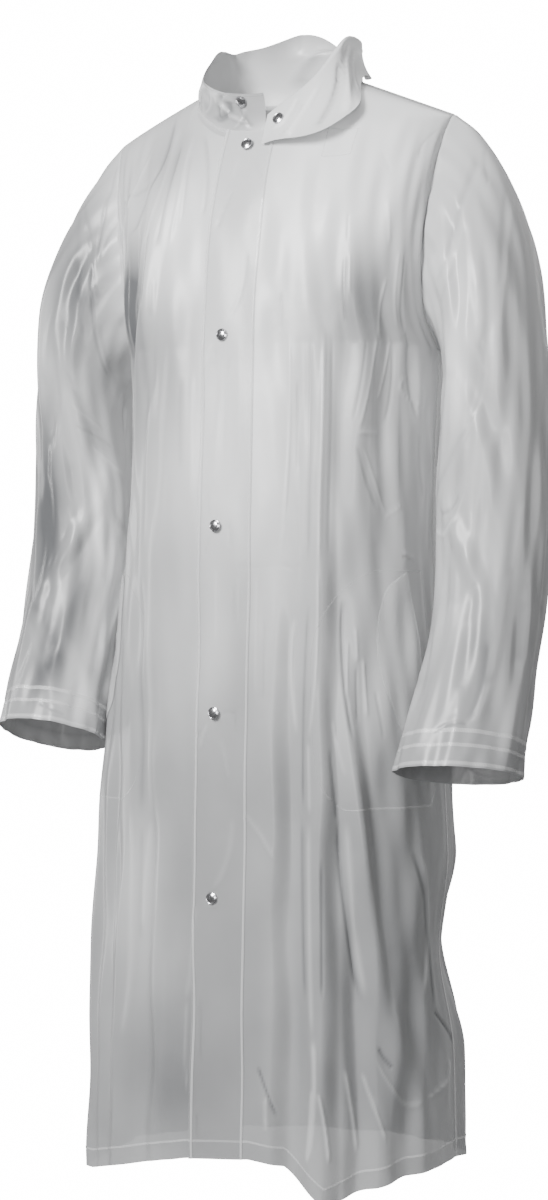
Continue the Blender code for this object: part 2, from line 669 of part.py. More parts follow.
def at_grid(grid, rows, columns):
    """Values of a grid between its points, taken straight along both ways."""
    i = np.clip(np.floor(rows).astype(int), 0, grid.shape[0] - 2)
    j = np.clip(np.floor(columns).astype(int), 0, grid.shape[1] - 2)
    a, b = (rows - i)[..., None], (columns - j)[..., None]
    low = grid[i, j] * (1 - b) + grid[i, j + 1] * b
    high = grid[i + 1, j] * (1 - b) + grid[i + 1, j + 1] * b
    return low * (1 - a) + high * a


def row_at(grid, columns, z):
    """The rows at which the heights z lie in the given columns of a body grid."""
    numbers = np.arange(grid.shape[0])
    heights = at_grid(grid, numbers[:, None] + 0.0 * columns[None], columns[None] + 0.0 * numbers[:, None])
    return np.array([np.interp(level, heights[:, k, 2], numbers) for k, level in enumerate(z)])


def side_column(angle, side):
    """The column of a front grid that runs at an angle from the front middle."""
    neck_turn = turn_at(NECK_HALF, SHOULDER_TIP)
    before = PLACKET_COLUMNS + NECK_COLUMNS
    place = before + (angle - neck_turn) / (90 - neck_turn) * SIDE_COLUMNS
    return place if side > 0 else before + SIDE_COLUMNS - place


def patch_grid(grid, side, table, columns):
    """Points and outward directions of a patch on a front, between the two edges of its table."""
    share = np.linspace(0, 1, columns + 1)
    knots = np.arange(len(table))
    whole = grid_normals(grid, False)
    points, normals = [], []
    for place in np.linspace(knots[-1], 0, PATCH_STEPS * knots[-1] + 1):
        z, first, last = (np.interp(place, knots, column(table, name)) for name in FlapRow._fields)
        columns_at = side_column(first + (last - first) * share, side)
        rows = row_at(grid, columns_at, np.full(len(columns_at), z))
        points.append(at_grid(grid, rows, columns_at))
        normals.append(unit(at_grid(whole, rows, columns_at)))
    points, normals = np.array(points), np.array(normals)
    return (points, normals) if side > 0 else (points[:, ::-1], normals[:, ::-1])


def build_pockets(grids, band):
    for name, side in (("left", 1), ("right", -1)):
        points, normals = patch_grid(grids[name], side, FLAP_ROWS, FLAP_COLUMNS)
        layer_on(f"pocket_flap_{name}", points, normals, FLAP_GAP + BAND_WALL, BAND_WALL, band)
        points, normals = patch_grid(grids[name], side, BAG_ROWS, BAG_COLUMNS)
        layer_on(f"pocket_bag_{name}", points, normals, -WALL - BAG_GAP, BAND_WALL, band)


def build_patch(grids, material):
    points, normals = patch_grid(grids["left"], 1, PATCH_ROWS, PATCH_COLUMNS)
    layer_on("neck_patch", points, normals, -WALL - FLAP_GAP, BAND_WALL, material)


def stud(name, profile, seat, axis, metal):
    """A turned piece on a seat, from a profile of radii and heights that starts and ends on its axis."""
    mesh = bpy.data.meshes.new(name)
    shape = bmesh.new()
    corners = [shape.verts.new((radius, 0, height)) for radius, height in profile]
    edges = [shape.edges.new(pair) for pair in zip(corners, corners[1:])]
    bmesh.ops.spin(
        shape,
        geom=corners + edges,
        cent=(0, 0, 0),
        axis=(0, 0, 1),
        angle=2 * pi,
        steps=STUD_SIDES,
    )
    bmesh.ops.remove_doubles(shape, verts=shape.verts, dist=MERGE)
    bmesh.ops.recalc_face_normals(shape, faces=shape.faces)
    shape.to_mesh(mesh)
    shape.free()
    mesh.materials.append(metal)
    mesh.shade_smooth()
    mesh.set_sharp_from_angle(angle=radians(35))
    obj = bpy.data.objects.new(name, mesh)
    obj.location = Vector(seat)
    obj.rotation_mode = "QUATERNION"
    obj.rotation_quaternion = Vector(axis).to_track_quat("Z", "Y")
    bpy.context.collection.objects.link(obj)
    return obj


def build_studs(grids, metal):
    """Each closed stud: a cap on the strip, and a grip between the two fronts."""
    left = grids["left"]
    left_normals = grid_normals(left, False)
    for number, place in enumerate(STUD_PLACES, 1):
        columns = np.array([(place.x + LAP) / (PLACKET_EDGE + LAP) * PLACKET_COLUMNS])
        rows = row_at(left, columns, np.array([place.z]))
        seat, outward = at_grid(left, rows, columns)[0], unit(at_grid(left_normals, rows, columns))[0]
        above = LYING_GAP + BAND_WALL + STUD_GAP
        stud(f"stud_cap_{number}", CAP_PROFILE, seat + outward * above, outward, metal)
        between = seat - outward * (WALL + STUD_GAP)
        stud(f"stud_grip_{number}", GRIP_PROFILE, between, -outward, metal)


def build_coat():
    clear_scene()
    film = make_material("milky_film", FILM_COLOUR, 0.35, alpha=0.8)
    band = make_material("doubled_film", BAND_COLOUR, 0.35, alpha=0.9)
    metal = make_material("stud_metal", METAL_COLOUR, 0.25, metallic=1.0)
    grids = build_body(film, band)
    build_sleeves(grids, film, band)
    build_collar(film, metal)
    build_pockets(grids, band)
    build_patch(grids, make_material("inner_patch", PATCH_COLOUR, 0.5))
    build_studs(grids, metal)


build_coat()
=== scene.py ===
"""A long see-through raincoat in its worn shape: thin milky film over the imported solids.

Every film piece is a sheet worked out on a grid. The body's sheets share one skin: an oval ring at each
height from the section table, closed over the shoulders, with folds and creases added square to it. Bands,
pockets, welds and studs are carried on the same skin, moved out or in. Metres, +Z up, the front faces -Y and
the wearer's left is +X. The origin is the middle of the neck opening.
"""

from collections import namedtuple
from math import cos, pi, radians, sin

import bpy
import numpy as np
from bpy.props import FloatProperty, FloatVectorProperty, PointerProperty
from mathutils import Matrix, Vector


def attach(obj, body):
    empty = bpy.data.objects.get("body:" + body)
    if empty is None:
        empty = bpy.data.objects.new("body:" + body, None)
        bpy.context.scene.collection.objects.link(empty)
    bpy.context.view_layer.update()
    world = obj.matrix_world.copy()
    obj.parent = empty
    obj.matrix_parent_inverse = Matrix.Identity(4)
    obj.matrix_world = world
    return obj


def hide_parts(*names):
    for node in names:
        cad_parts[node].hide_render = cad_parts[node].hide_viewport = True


bl_info = {
    "name": "See-Through Raincoat",
    "version": (1, 0, 0),
    "blender": (4, 5, 0),
    "location": "View3D > Sidebar > Raincoat",
    "description": "Builds a long raincoat of milky film over its packed solids",
    "category": "Add Mesh",
}

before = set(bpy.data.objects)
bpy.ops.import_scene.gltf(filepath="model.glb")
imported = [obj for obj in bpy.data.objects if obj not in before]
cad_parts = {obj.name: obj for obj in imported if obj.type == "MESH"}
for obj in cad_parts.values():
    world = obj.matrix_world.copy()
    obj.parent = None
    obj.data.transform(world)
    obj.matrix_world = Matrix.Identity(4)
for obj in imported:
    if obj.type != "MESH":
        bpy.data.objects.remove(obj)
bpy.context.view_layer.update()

SIDES = ("left", 1), ("right", -1)


def rows_of(kind, *rows):
    """A table whose rows are named tuples of one kind."""
    return tuple(kind(*row) for row in rows)


# Sizes that the film shares with the solids below it
SEAM_Y = 0.012
ARMPIT_Z = -0.300
NECK_HALF = 0.087
SHOULDER_TIP = 0.205
SHOULDER_SLOPE = 0.41
FRONT_NECK_DROP = 0.062
BACK_NECK_DROP = 0.016
SKIN_POWER = 0.87
LAP = 0.030
PLACKET_EDGE = 0.034
LAP_SINK = 0.0044
SUNK_TO = 0.038
SINK_ENDS = 0.075
METRES_PER_DEGREE = 0.0032
# The height of a sleeve row, and a degree round a sleeve as a share of one round the body
METRES_PER_ROW = 0.052
SLEEVE_DEGREE = 0.5

Section = namedtuple("Section", "z half_width front_depth back_depth")
SECTIONS = rows_of(
    Section,
    (-1.215, 0.217, 0.166, 0.150),
    (-1.000, 0.212, 0.162, 0.142),
    (-0.800, 0.205, 0.157, 0.134),
    (-0.600, 0.197, 0.150, 0.126),
    (-0.420, 0.192, 0.144, 0.120),
    (-0.300, 0.190, 0.139, 0.116),
    (-0.150, 0.188, 0.136, 0.112),
    (0.020, 0.188, 0.134, 0.108),
)

Armhole = namedtuple("Armhole", "up x open")
ARMHOLE = rows_of(
    Armhole,
    (0.00, 0.190, 0.00),
    (0.12, 0.188, 0.26),
    (0.30, 0.188, 0.38),
    (0.55, 0.191, 0.40),
    (0.80, 0.198, 0.38),
    (1.00, 0.205, 0.36),
)

Rounding = namedtuple("Rounding", "drop power")
FRONT_ROUNDING = Rounding(0.30, 2.0)
BACK_ROUNDING = Rounding(0.20, 3.0)

HemPoint = namedtuple("HemPoint", "angle z")
HEM = rows_of(
    HemPoint,
    (-180, -1.190),
    (-130, -1.196),
    (-90, -1.204),
    (-60, -1.206),
    (-30, -1.184),
    (-8, -1.166),
    (8, -1.160),
    (18, -1.166),
    (30, -1.204),
    (45, -1.188),
    (60, -1.178),
    (90, -1.172),
    (130, -1.182),
    (180, -1.190),
)
LOWEST_HEM = min(point.z for point in HEM)

# The large folds, which the solids have too
Fold = namedtuple("Fold", "top_angle top_z low_angle low_z half_angle depth left_over")
BODY_FOLDS = rows_of(
    Fold,
    (30, -0.16, 29, -1.21, 7.0, 0.013, 1.0),
    (21, -0.42, 20, -1.21, 6.5, -0.011, 1.0),
    (36, -0.58, 50, -1.06, 6.5, 0.012, 0.2),
    (50, -0.96, 66, -1.12, 9.0, 0.007, 0.0),
    (42, -0.80, 42, -1.21, 6.5, -0.010, 1.0),
    (64, -0.90, 60, -1.21, 8.0, -0.007, 1.0),
    (108, -0.20, 108, -0.86, 58.0, -0.019, 0.65),
    (114, -0.84, 114, -1.06, 60.0, -0.022, 0.0),
    (-82, 0.15, -60, -0.78, 44.0, -0.023, 0.0),
    (100, -0.98, 98, -1.21, 10.0, 0.006, 1.0),
    (45, -0.18, 44, -0.56, 7.0, 0.007, 0.0),
    (58, -0.22, 54, -0.60, 7.0, -0.007, 0.0),
    (-24, -0.07, -42, -0.50, 6.5, 0.009, 0.0),
    (-37, -0.08, -56, -0.44, 6.5, -0.009, 0.0),
    (-50, -0.10, -68, -0.50, 6.5, 0.007, 0.0),
    (-12, -0.80, -10, -1.21, 6.5, 0.007, 1.0),
    (-24, -0.62, -24, -1.21, 6.5, -0.008, 1.0),
    (-33, -0.72, -34, -1.21, 6.5, 0.010, 1.0),
    (-47, -0.55, -48, -1.21, 7.0, -0.008, 1.0),
    (-63, -0.60, -64, -1.21, 7.5, 0.010, 1.0),
    (-104, -0.60, -106, -1.21, 8.0, 0.011, 1.0),
    (-121, -0.45, -123, -1.21, 7.0, -0.010, 1.0),
    (-138, -0.52, -140, -1.21, 7.5, 0.013, 1.0),
    (-156, -0.16, -158, -1.21, 7.0, -0.009, 1.0),
    (-172, -0.66, -174, -1.21, 7.5, 0.010, 1.0),
    (119, -0.70, 118, -1.21, 7.5, -0.010, 1.0),
    (134, -0.48, 133, -1.21, 7.5, 0.012, 1.0),
    (151, -0.18, 150, -1.21, 7.0, -0.009, 1.0),
    (168, -0.58, 169, -1.21, 7.5, 0.010, 1.0),
)

# Finer creases, which run down: where each starts and ends, how far its middle bows aside, its half width
# and height, and how sharp it is, from 0, rounded, to 1, a pinch
Crease = namedtuple("Crease", "top_angle top_z bow low_angle low_z half_width height sharp")
DOWN_CREASES = rows_of(
    Crease,
    (-30.7, -0.03, 8.9, -51.3, -0.169, 0.0048, -0.0022, 0.7),
    (-23, -0.065, 0.3, -27, -0.191, 0.0058, -0.0018, 0.7),
    (-14.3, -0.056, 2.1, -10.3, -0.159, 0.0034, -0.0018, 0.7),
    (-16.7, -0.081, -0.1, -18, -0.163, 0.0032, -0.0009, 0.7),
    (-26.3, -0.042, 2.9, -36, -0.185, 0.0075, 0.001, 0.6),
    (-17, -0.06, -0.2, -21.7, -0.186, 0.0044, 0.0008, 0.6),
    (-48.7, -0.175, 0.6, -75, -0.527, 0.0075, -0.001, 0.4),
    (-32.3, -0.185, 0.7, -31, -0.528, 0.0075, -0.001, 0.7),
    (-39, -0.192, -13.4, -40.3, -0.528, 0.0075, 0.0008, 0.4),
    (-27.7, -0.224, 0, -28, -0.27, 0.0026, -0.0007, 0.7),
    (-26.3, -0.222, 0, -26.7, -0.266, 0.0026, 0.0006, 0.6),
    (-0.7, -0.128, -0.4, -4, -0.177, 0.0026, -0.0009, 0.7),
    (3.7, -0.197, 1.9, 0, -0.276, 0.0028, -0.0008, 0.7),
    (16.7, -0.248, 0, 16.3, -0.288, 0.0028, -0.0006, 0.7),
    (48, -0.096, 0, 55, -0.116, 0.0036, -0.0007, 0.7),
    (56.3, -0.146, 0, 61.3, -0.198, 0.0062, 0.0007, 0.6),
    (72.3, -0.204, 0, 67, -0.29, 0.0075, -0.001, 0.7),
    (61, -0.231, 0, 53.3, -0.296, 0.0051, 0.0009, 0.6),
    (67.7, -0.2, 0, 63.7, -0.288, 0.0054, 0.0007, 0.6),
    (39.7, -0.206, -0.2, 40.7, -0.284, 0.0043, -0.0009, 0.7),
    (41.7, -0.207, 0, 42.3, -0.255, 0.0032, 0.0007, 0.6),
    (39.3, -0.163, 0, 40.3, -0.195, 0.0029, -0.0005, 0.7),
    (80.3, -0.065, -5.9, 71, -0.101, 0.0075, -0.001, 0.7),
    (-20, -0.288, 0.2, -26, -0.544, 0.006, 0.0009, 0.6),
    (-15, -0.33, 0, -14.3, -0.436, 0.006, -0.0007, 0.4),
    (-10.7, -0.321, 0, -9.7, -0.47, 0.0043, 0.0008, 0.4),
    (-7, -0.291, -0.3, -7.7, -0.492, 0.003, -0.0009, 0.7),
    (-5.7, -0.291, -0.3, -6.3, -0.492, 0.0026, 0.0007, 0.6),
    (-0.7, -0.312, -0.5, -2, -0.465, 0.0025, 0.0008, 0.6),
    (-4.3, -0.389, 0, -3.7, -0.489, 0.003, -0.0007, 0.7),
    (0.7, -0.303, -0.5, 0, -0.47, 0.002, -0.0008, 0.7),
    (3.3, -0.291, 0, 3.7, -0.449, 0.0027, 0.0007, 0.6),
    (19, -0.285, 1.6, 16.7, -0.533, 0.0034, 0.0008, 0.6),
    (24.3, -0.296, 0.3, 24.3, -0.533, 0.003, 0.0006, 0.6),
    (31.3, -0.284, 0.2, 29.3, -0.546, 0.0047, 0.0018, 0.5),
    (26.7, -0.288, 0.3, 26, -0.537, 0.0036, -0.0015, 0.7),
    (34.3, -0.288, 0.4, 32.7, -0.537, 0.0045, -0.0009, 0.7),
    (22.3, -0.336, 0, 22.7, -0.44, 0.0037, -0.0007, 0.7),
    (52.3, -0.291, 0.6, 43.7, -0.396, 0.0048, 0.0011, 0.6),
    (46.3, -0.411, -0.3, 57.7, -0.486, 0.0046, 0.0009, 0.6),
    (59.3, -0.29, 0.7, 53, -0.363, 0.0049, 0.0009, 0.6),
    (68.7, -0.284, -3.4, 74.7, -0.383, 0.0069, -0.0011, 0.7),
    (69.3, -0.332, -11.4, 83, -0.369, 0.0037, 0.0009, 0.6),
    (82.3, -0.356, -1, 90, -0.471, 0.0075, 0.001, 0.6),
    (47.3, -0.294, 0.5, 41.7, -0.387, 0.0038, -0.0009, 0.7),
    (43.3, -0.407, -0.8, 53.3, -0.479, 0.005, -0.0009, 0.4),
    (60, -0.302, 1.6, 56.7, -0.387, 0.0045, -0.0008, 0.4),
    (76, -0.39, -0.2, 79.7, -0.465, 0.0069, -0.0008, 0.4),
    (-52.7, -0.59, -15.6, -86.3, -0.738, 0.0075, 0.0009, 0.4),
    (-31.7, -0.536, 0.1, -27, -0.815, 0.0064, -0.0011, 0.5),
    (-26, -0.536, 0, -24, -0.815, 0.0054, 0.001, 0.5),
    (-1.3, -0.536, 0, -1, -0.62, 0.0027, 0.0009, 0.6),
    (3, -0.556, 0, 3.3, -0.599, 0.0018, -0.0007, 0.7),
    (4, -0.546, 0, 4.3, -0.599, 0.0021, 0.0007, 0.6),
    (12, -0.59, 0, 11.7, -0.681, 0.003, -0.0007, 0.7),
    (9.3, -0.54, 0, 9.7, -0.678, 0.0027, 0.0007, 0.6),
    (3.3, -0.69, 0, 4.3, -0.714, 0.002, -0.0007, 0.7),
    (-3, -0.702, 0, -5, -0.732, 0.0024, 0.001, 0.6),
    (0, -0.719, 0, 2.3, -0.762, 0.0026, 0.0006, 0.6),
    (-90, -0.736, 0, -84.7, -0.764, 0.0075, -0.0007, 0.7),
    (21.7, -0.59, -1.5, 22.3, -0.717, 0.0045, 0.0015, 0.5),
    (26.3, -0.572, -0.7, 24.3, -0.798, 0.0032, -0.0017, 0.7),
    (29, -0.537, 1.2, 26, -0.723, 0.003, 0.0016, 0.6),
    (26, -0.719, 0, 26.3, -0.798, 0.003, 0.0016, 0.6),
    (38.7, -0.569, -1.8, 41.3, -0.723, 0.0042, -0.002, 0.7),
    (40, -0.612, 0, 39, -0.681, 0.003, 0.0009, 0.6),
    (42.7, -0.6, 0, 43.3, -0.638, 0.0045, 0.0014, 0.6),
    (45.7, -0.632, 0, 47, -0.696, 0.004, 0.0014, 0.6),
    (43, -0.641, 0, 43.3, -0.702, 0.0037, -0.0009, 0.7),
    (33, -0.726, -0.1, 35.3, -0.805, 0.004, -0.0014, 0.7),
    (34.3, -0.696, -0.5, 38.3, -0.758, 0.0036, 0.001, 0.6),
    (50.3, -0.666, 0, 53.3, -0.719, 0.0038, -0.0007, 0.4),
    (-31.3, -0.789, 2.1, -31.3, -1.054, 0.0045, 0.0011, 0.5),
    (-24, -0.808, -0.1, -26.7, -0.934, 0.005, 0.001, 0.5),
    (-27, -0.815, 0, -27.3, -0.947, 0.0032, -0.0009, 0.5),
    (3.3, -0.802, 1.3, -1, -0.882, 0.0037, 0.0008, 0.3),
    (-4.7, -0.894, -0.1, -7.7, -1.002, 0.0034, 0.0009, 0.5),
    (-7.7, -0.996, -0.5, -6.7, -1.101, 0.002, 0.0009, 0.5),
    (-4, -0.994, 0, -3.3, -1.065, 0.0028, -0.0007, 0.5),
    (6.3, -0.796, 0.3, 16, -0.847, 0.0033, 0.0008, 0.6),
    (26, -0.798, -0.3, 26.7, -1.034, 0.0041, 0.0018, 0.6),
    (26.7, -1.026, 1.1, 25.7, -1.156, 0.0043, 0.0029, 0.6),
    (24, -0.798, -0.3, 24.7, -0.994, 0.0035, -0.0015, 0.7),
    (30, -0.839, 0, 29.7, -0.992, 0.0028, -0.0014, 0.7),
    (10.7, -1.06, -0.2, 16.3, -1.115, 0.0026, -0.0021, 0.7),
    (-4, -1.115, 0, -3.7, -1.146, 0.002, -0.0011, 0.7),
    (13, -1.093, 0, 13.3, -1.129, 0.0036, 0.0014, 0.4),
    (38.3, -0.799, -1, 45, -0.993, 0.0056, 0.0017, 0.6),
    (35.7, -0.799, -1.9, 43.7, -0.994, 0.0042, -0.0016, 0.7),
    (82.7, -1.062, 9.2, 68.7, -1.101, 0.0057, 0.0017, 0.6),
    (49, -1.039, -0.7, 54.3, -1.063, 0.0041, -0.0015, 0.7),
    (37.3, -1.06, 0.4, 42, -1.152, 0.0048, 0.0019, 0.6),
    (43.7, -1.065, -0.5, 51.7, -1.14, 0.0031, 0.0018, 0.6),
    (26.7, -1.079, 0.2, 25, -1.161, 0.0032, 0.0029, 0.6),
    (28.3, -1.083, 0.6, 31.7, -1.159, 0.0032, 0.0026, 0.6),
    (65.3, -0.834, 3.8, 76.3, -1.01, 0.0075, -0.0013, 0.7),
    (75.7, -1.008, 2.5, 90, -1.05, 0.0053, -0.002, 0.7),
    (69.3, -0.837, 5.8, 70.3, -0.996, 0.0075, 0.001, 0.4),
    (-4, -0.297, 0, -5.3, -0.321, 0.0026, 0.0008, 0.6),
    (-2.3, -0.303, 0, -3, -0.324, 0.0017, -0.0008, 0.7),
    (0.7, -0.488, 0.5, 1.7, -0.516, 0.0019, -0.0008, 0.7),
    (-3.3, -0.504, 0, -4.3, -0.525, 0.0019, -0.0007, 0.7),
    (-3.3, -0.702, 0, -6.3, -0.723, 0.0022, -0.0007, 0.7),
    (2.7, -0.095, 0, 6, -0.12, 0.0022, -0.0007, 0.7),
    (-1, -0.089, 0, -2, -0.113, 0.0023, 0.0007, 0.6),
    (-96, -0.36, 1, -97, -0.82, 0.009, 0.0014, 0.4),
    (-113, -0.52, -1, -114, -1.08, 0.009, 0.0014, 0.4),
    (-130, -0.3, 1, -131, -0.76, 0.0095, 0.0013, 0.4),
    (-148, -0.42, -1, -149, -1.12, 0.009, 0.0015, 0.4),
    (-165, -0.24, 1, -166, -0.7, 0.0095, 0.0013, 0.3),
    (-179, -0.38, -0.5, 179, -0.98, 0.0095, 0.0012, 0.3),
    (160, -0.26, 1, 161, -0.8, 0.009, 0.0013, 0.4),
    (142, -0.38, -1, 141, -1.06, 0.009, 0.0015, 0.4),
    (126, -0.34, 1, 125, -0.86, 0.009, 0.0014, 0.4),
    (110, -0.46, -1, 108, -1.12, 0.009, 0.0015, 0.4),
    (148, -0.07, 3, 112, -0.26, 0.011, 0.0016, 0.5),
    (160, -0.08, 3, 124, -0.33, 0.011, -0.0013, 0.4),
    (-150, -0.07, -3, -114, -0.25, 0.011, 0.0016, 0.5),
    (-163, -0.08, -3, -128, -0.34, 0.011, -0.0013, 0.4),
)

# Creases that run across, from a first angle and height to a last one, their middles bowed up or down
AcrossCrease = namedtuple("AcrossCrease", "first_angle first_z bow last_angle last_z half_width height sharp")
ACROSS_CREASES = rows_of(
    AcrossCrease,
    (-64.7, -0.12, -0.0033, -34.3, -0.111, 0.0051, -0.001, 0.7),
    (-79, -0.141, -0.038, -35.3, -0.057, 0.008, 0.0009, 0.6),
    (1.7, -0.536, 0.0007, 24.7, -0.537, 0.0022, -0.0005, 0.7),
    (43, -0.396, 0.0001, 54.7, -0.393, 0.003, 0.001, 0.6),
    (56.7, -0.485, 0.0005, 64, -0.471, 0.0031, 0.0009, 0.6),
    (0.3, -0.692, 0.0024, 4.3, -0.693, 0.0027, -0.0008, 0.7),
    (47.3, -1.048, -0.0233, 68.7, -1.099, 0.0051, 0.0011, 0.6),
    (63, -0.521, -0.0001, 73.3, -0.527, 0.0026, 0.0011, 0.6),
    (63, -0.525, -0.0001, 72.7, -0.531, 0.0027, -0.0011, 0.7),
    (-3, -0.895, 0, 0.3, -0.895, 0.0022, 0.0006, 0.6),
    (104, -0.36, 0.006, 134, -0.4, 0.009, 0.0014, 0.5),
    (-134, -0.41, 0.006, -104, -0.36, 0.009, 0.0014, 0.5),
)

# The slow waves of loose film: waves per degree and per metre, where they start, and how high they are
Ripple = namedtuple("Ripple", "per_degree per_metre start height")
RIPPLES = rows_of(
    Ripple,
    (0.043, 3.1, 0.2, 0.0009),
    (0.071, -4.7, 1.7, 0.0007),
    (-0.032, 7.9, 3.1, 0.0006),
    (0.112, 5.3, 4.4, 0.00045),
)

# Painted light and shade on the film: soft patches painted lighter, as if lit, or darker, as if shaded; a
# middle, how far it reaches and by how much
Tone = namedtuple("Tone", "angle level half_angle half_level lighter")
BODY_PAINTED_SHADING = rows_of(
    Tone,
    (2, -0.36, 34, 0.34, 0.34),
    (12, -0.43, 22, 0.20, 0.20),
    (-4, -0.44, 14, 0.20, 0.12),
    (40, -0.12, 52, 0.14, 0.50),
    (28, -0.15, 26, 0.11, 0.16),
    (-20, -0.15, 24, 0.13, 0.24),
    (62, -0.25, 40, 0.07, -0.20),
    (48, -0.25, 18, 0.13, -0.26),
    (-42, -0.31, 22, 0.17, -0.42),
    (-50, -0.24, 22, 0.11, -0.50),
    (84, -0.45, 28, 0.36, 0.30),
    (62, -0.63, 17, 0.13, 0.44),
    (38, -0.68, 20, 0.16, 0.18),
    (58, -0.95, 42, 0.27, -0.12),
    (-82, -0.95, 22, 0.22, -0.20),
    (-48, -0.95, 14, 0.18, 0.10),
    (-12, -1.08, 28, 0.12, -0.18),
    (-12, -0.67, 30, 0.14, 0.14),
    (16, -0.63, 10, 0.16, 0.16),
    (17, -1.00, 7, 0.20, 0.10),
    (-26, -0.09, 20, 0.08, -0.34),
    (-18, -0.32, 14, 0.11, -0.28),
    (0, -0.41, 8, 0.12, 0.30),
    (-2, -0.62, 7, 0.13, 0.26),
    (-27, -0.89, 18, 0.15, 0.22),
)
# Painted light and shade on the left sleeve, by sleeve angles and rows
LEFT_PAINTED_SHADING = rows_of(
    Tone,
    (112, 5.0, 40, 3.0, 0.06),
    (124, 3.9, 26, 1.8, -0.08),
    (66, 5.6, 34, 2.6, 0.36),
    (96, 11.4, 24, 1.6, -0.22),
    (114, 11.0, 20, 2.0, -0.10),
    (44, 9.8, 24, 2.4, 0.14),
    (132, 12.7, 24, 1.4, 0.20),
)
# Painted light and shade on the right sleeve, by sleeve angles and rows
RIGHT_PAINTED_SHADING = rows_of(
    Tone,
    (100, 3.2, 100, 3.0, -0.56),
    (110, 0.9, 60, 0.9, 0.20),
    (28, 7.2, 24, 0.6, 0.20),
    (34, 8.7, 26, 2.0, 1.30),
    (14, 10.6, 24, 1.8, 1.50),
    (62, 10.7, 18, 1.6, -0.40),
    (26, 13.0, 30, 1.6, 0.40),
    (110, 9.0, 50, 4.0, -0.50),
    (72, 12.2, 28, 1.7, -0.40),
)
# The same painted light and shade for the collar, with hundredths of its length as angles and shares of its
# height as levels
COLLAR_PAINTED_SHADING = rows_of(
    Tone,
    (8, 0.5, 22, 1.2, -0.36),
    (19, 0.3, 8, 0.6, -0.22),
    (84, 0.7, 30, 0.9, 0.24),
)
# The height at which a crease paints the film in full, and by how much: ridges are painted lighter, a painted
# highlight, and troughs darker, a painted shade
CREASE_HIGH = 0.002
CREASE_PAINTED_SHADING = 0.22
# The back has creases like those of the front, turned round by so many degrees, up to a last one
BACK_TURN = 186
BACK_CREASES_END = 78
BACK_CREASES_FADE = 8
# Fine creases fade out over degrees at a side seam, to half over a share of the panel at the hem, over rows
# at the armhole, and over one of so many parts of the rounding at the shoulder
SEAM_FADE = 6
HEM_FADE = 0.02
ARMHOLE_FADE = 0.6
SHOULDER_PARTS = 4
# A crease grows over one of so many parts of its length, and fades over another
CREASE_PARTS = 7
# Painted light by height: the film is painted darker low down and lighter towards the shoulders, from one
# height to another, before its painted patches
PAINTED_LIGHT_BY_HEIGHT = (-0.75, -0.10, 0.28, 0.64)

SleeveRow = namedtuple("SleeveRow", "out_x out_y out_z in_x in_y in_z half_depth")
SLEEVE_ROWS = rows_of(
    SleeveRow,
    (0.2290, 0.014, -0.0570, 0.1960, 0.014, -0.3020, 0.080),
    (0.2510, 0.016, -0.0800, 0.2000, 0.014, -0.3070, 0.084),
    (0.2710, 0.018, -0.1180, 0.2035, 0.014, -0.3160, 0.084),
    (0.2860, 0.020, -0.1680, 0.2055, 0.012, -0.3300, 0.082),
    (0.2970, 0.020, -0.2280, 0.2065, 0.010, -0.3500, 0.079),
    (0.3050, 0.018, -0.2920, 0.2070, 0.007, -0.3780, 0.075),
    (0.3110, 0.014, -0.3560, 0.2075, 0.004, -0.4160, 0.070),
    (0.3150, 0.008, -0.4200, 0.2080, 0.000, -0.4600, 0.065),
    (0.3165, 0.000, -0.4880, 0.2100, -0.008, -0.5080, 0.060),
    (0.3165, -0.010, -0.5560, 0.2120, -0.020, -0.5620, 0.057),
    (0.3155, -0.024, -0.6220, 0.2100, -0.044, -0.6180, 0.056),
    (0.3140, -0.038, -0.6780, 0.2020, -0.072, -0.6740, 0.056),
    (0.3130, -0.052, -0.7240, 0.1930, -0.096, -0.7180, 0.057),
    (0.3125, -0.060, -0.7570, 0.1870, -0.108, -0.7510, 0.058),
)
# The rings over which a sleeve passes from the shape of the armhole to its own
RINGS_JOINING = 5
# An arm's rings are raised from a share of its length on, and its inner line is shifted round one row.
# Its far side has the other arm's creases, turned round by so many degrees.
Arm = namedtuple("Arm", "name side raised shift_out shift_back at_row rows far_turn tones")
ARMS = rows_of(
    Arm,
    ("left", 1, 0.0, -0.012, -0.009, 7.5, 6.0, 195, LEFT_PAINTED_SHADING),
    ("right", -1, 0.030, -0.004, 0.030, 10, 6.5, 150, RIGHT_PAINTED_SHADING),
)
RAISED_FROM = 0.3
LAST_RING = len(SLEEVE_ROWS)

# Angles run round a sleeve from its inner line, 0, by the front, 90
SleeveFold = namedtuple("SleeveFold", "top_angle top_row low_angle low_row half_angle depth left_over")
SLEEVE_FOLDS = rows_of(
    SleeveFold,
    (120, 1, 60, 6, 16, -0.006, 0.0),
    (150, 2, 96, 9, 16, 0.005, 0.0),
    (176, 3, 200, 13, 18, 0.004, 0.0),
    (70, 5, 130, 9, 15, -0.006, 0.0),
    (40, 8, 110, 11, 16, 0.005, 0.0),
    (215, 2, 250, 9, 16, -0.006, 0.0),
    (290, 4, 260, 13, 18, 0.006, 0.0),
    (320, 3, 330, 10, 16, -0.005, 0.0),
)
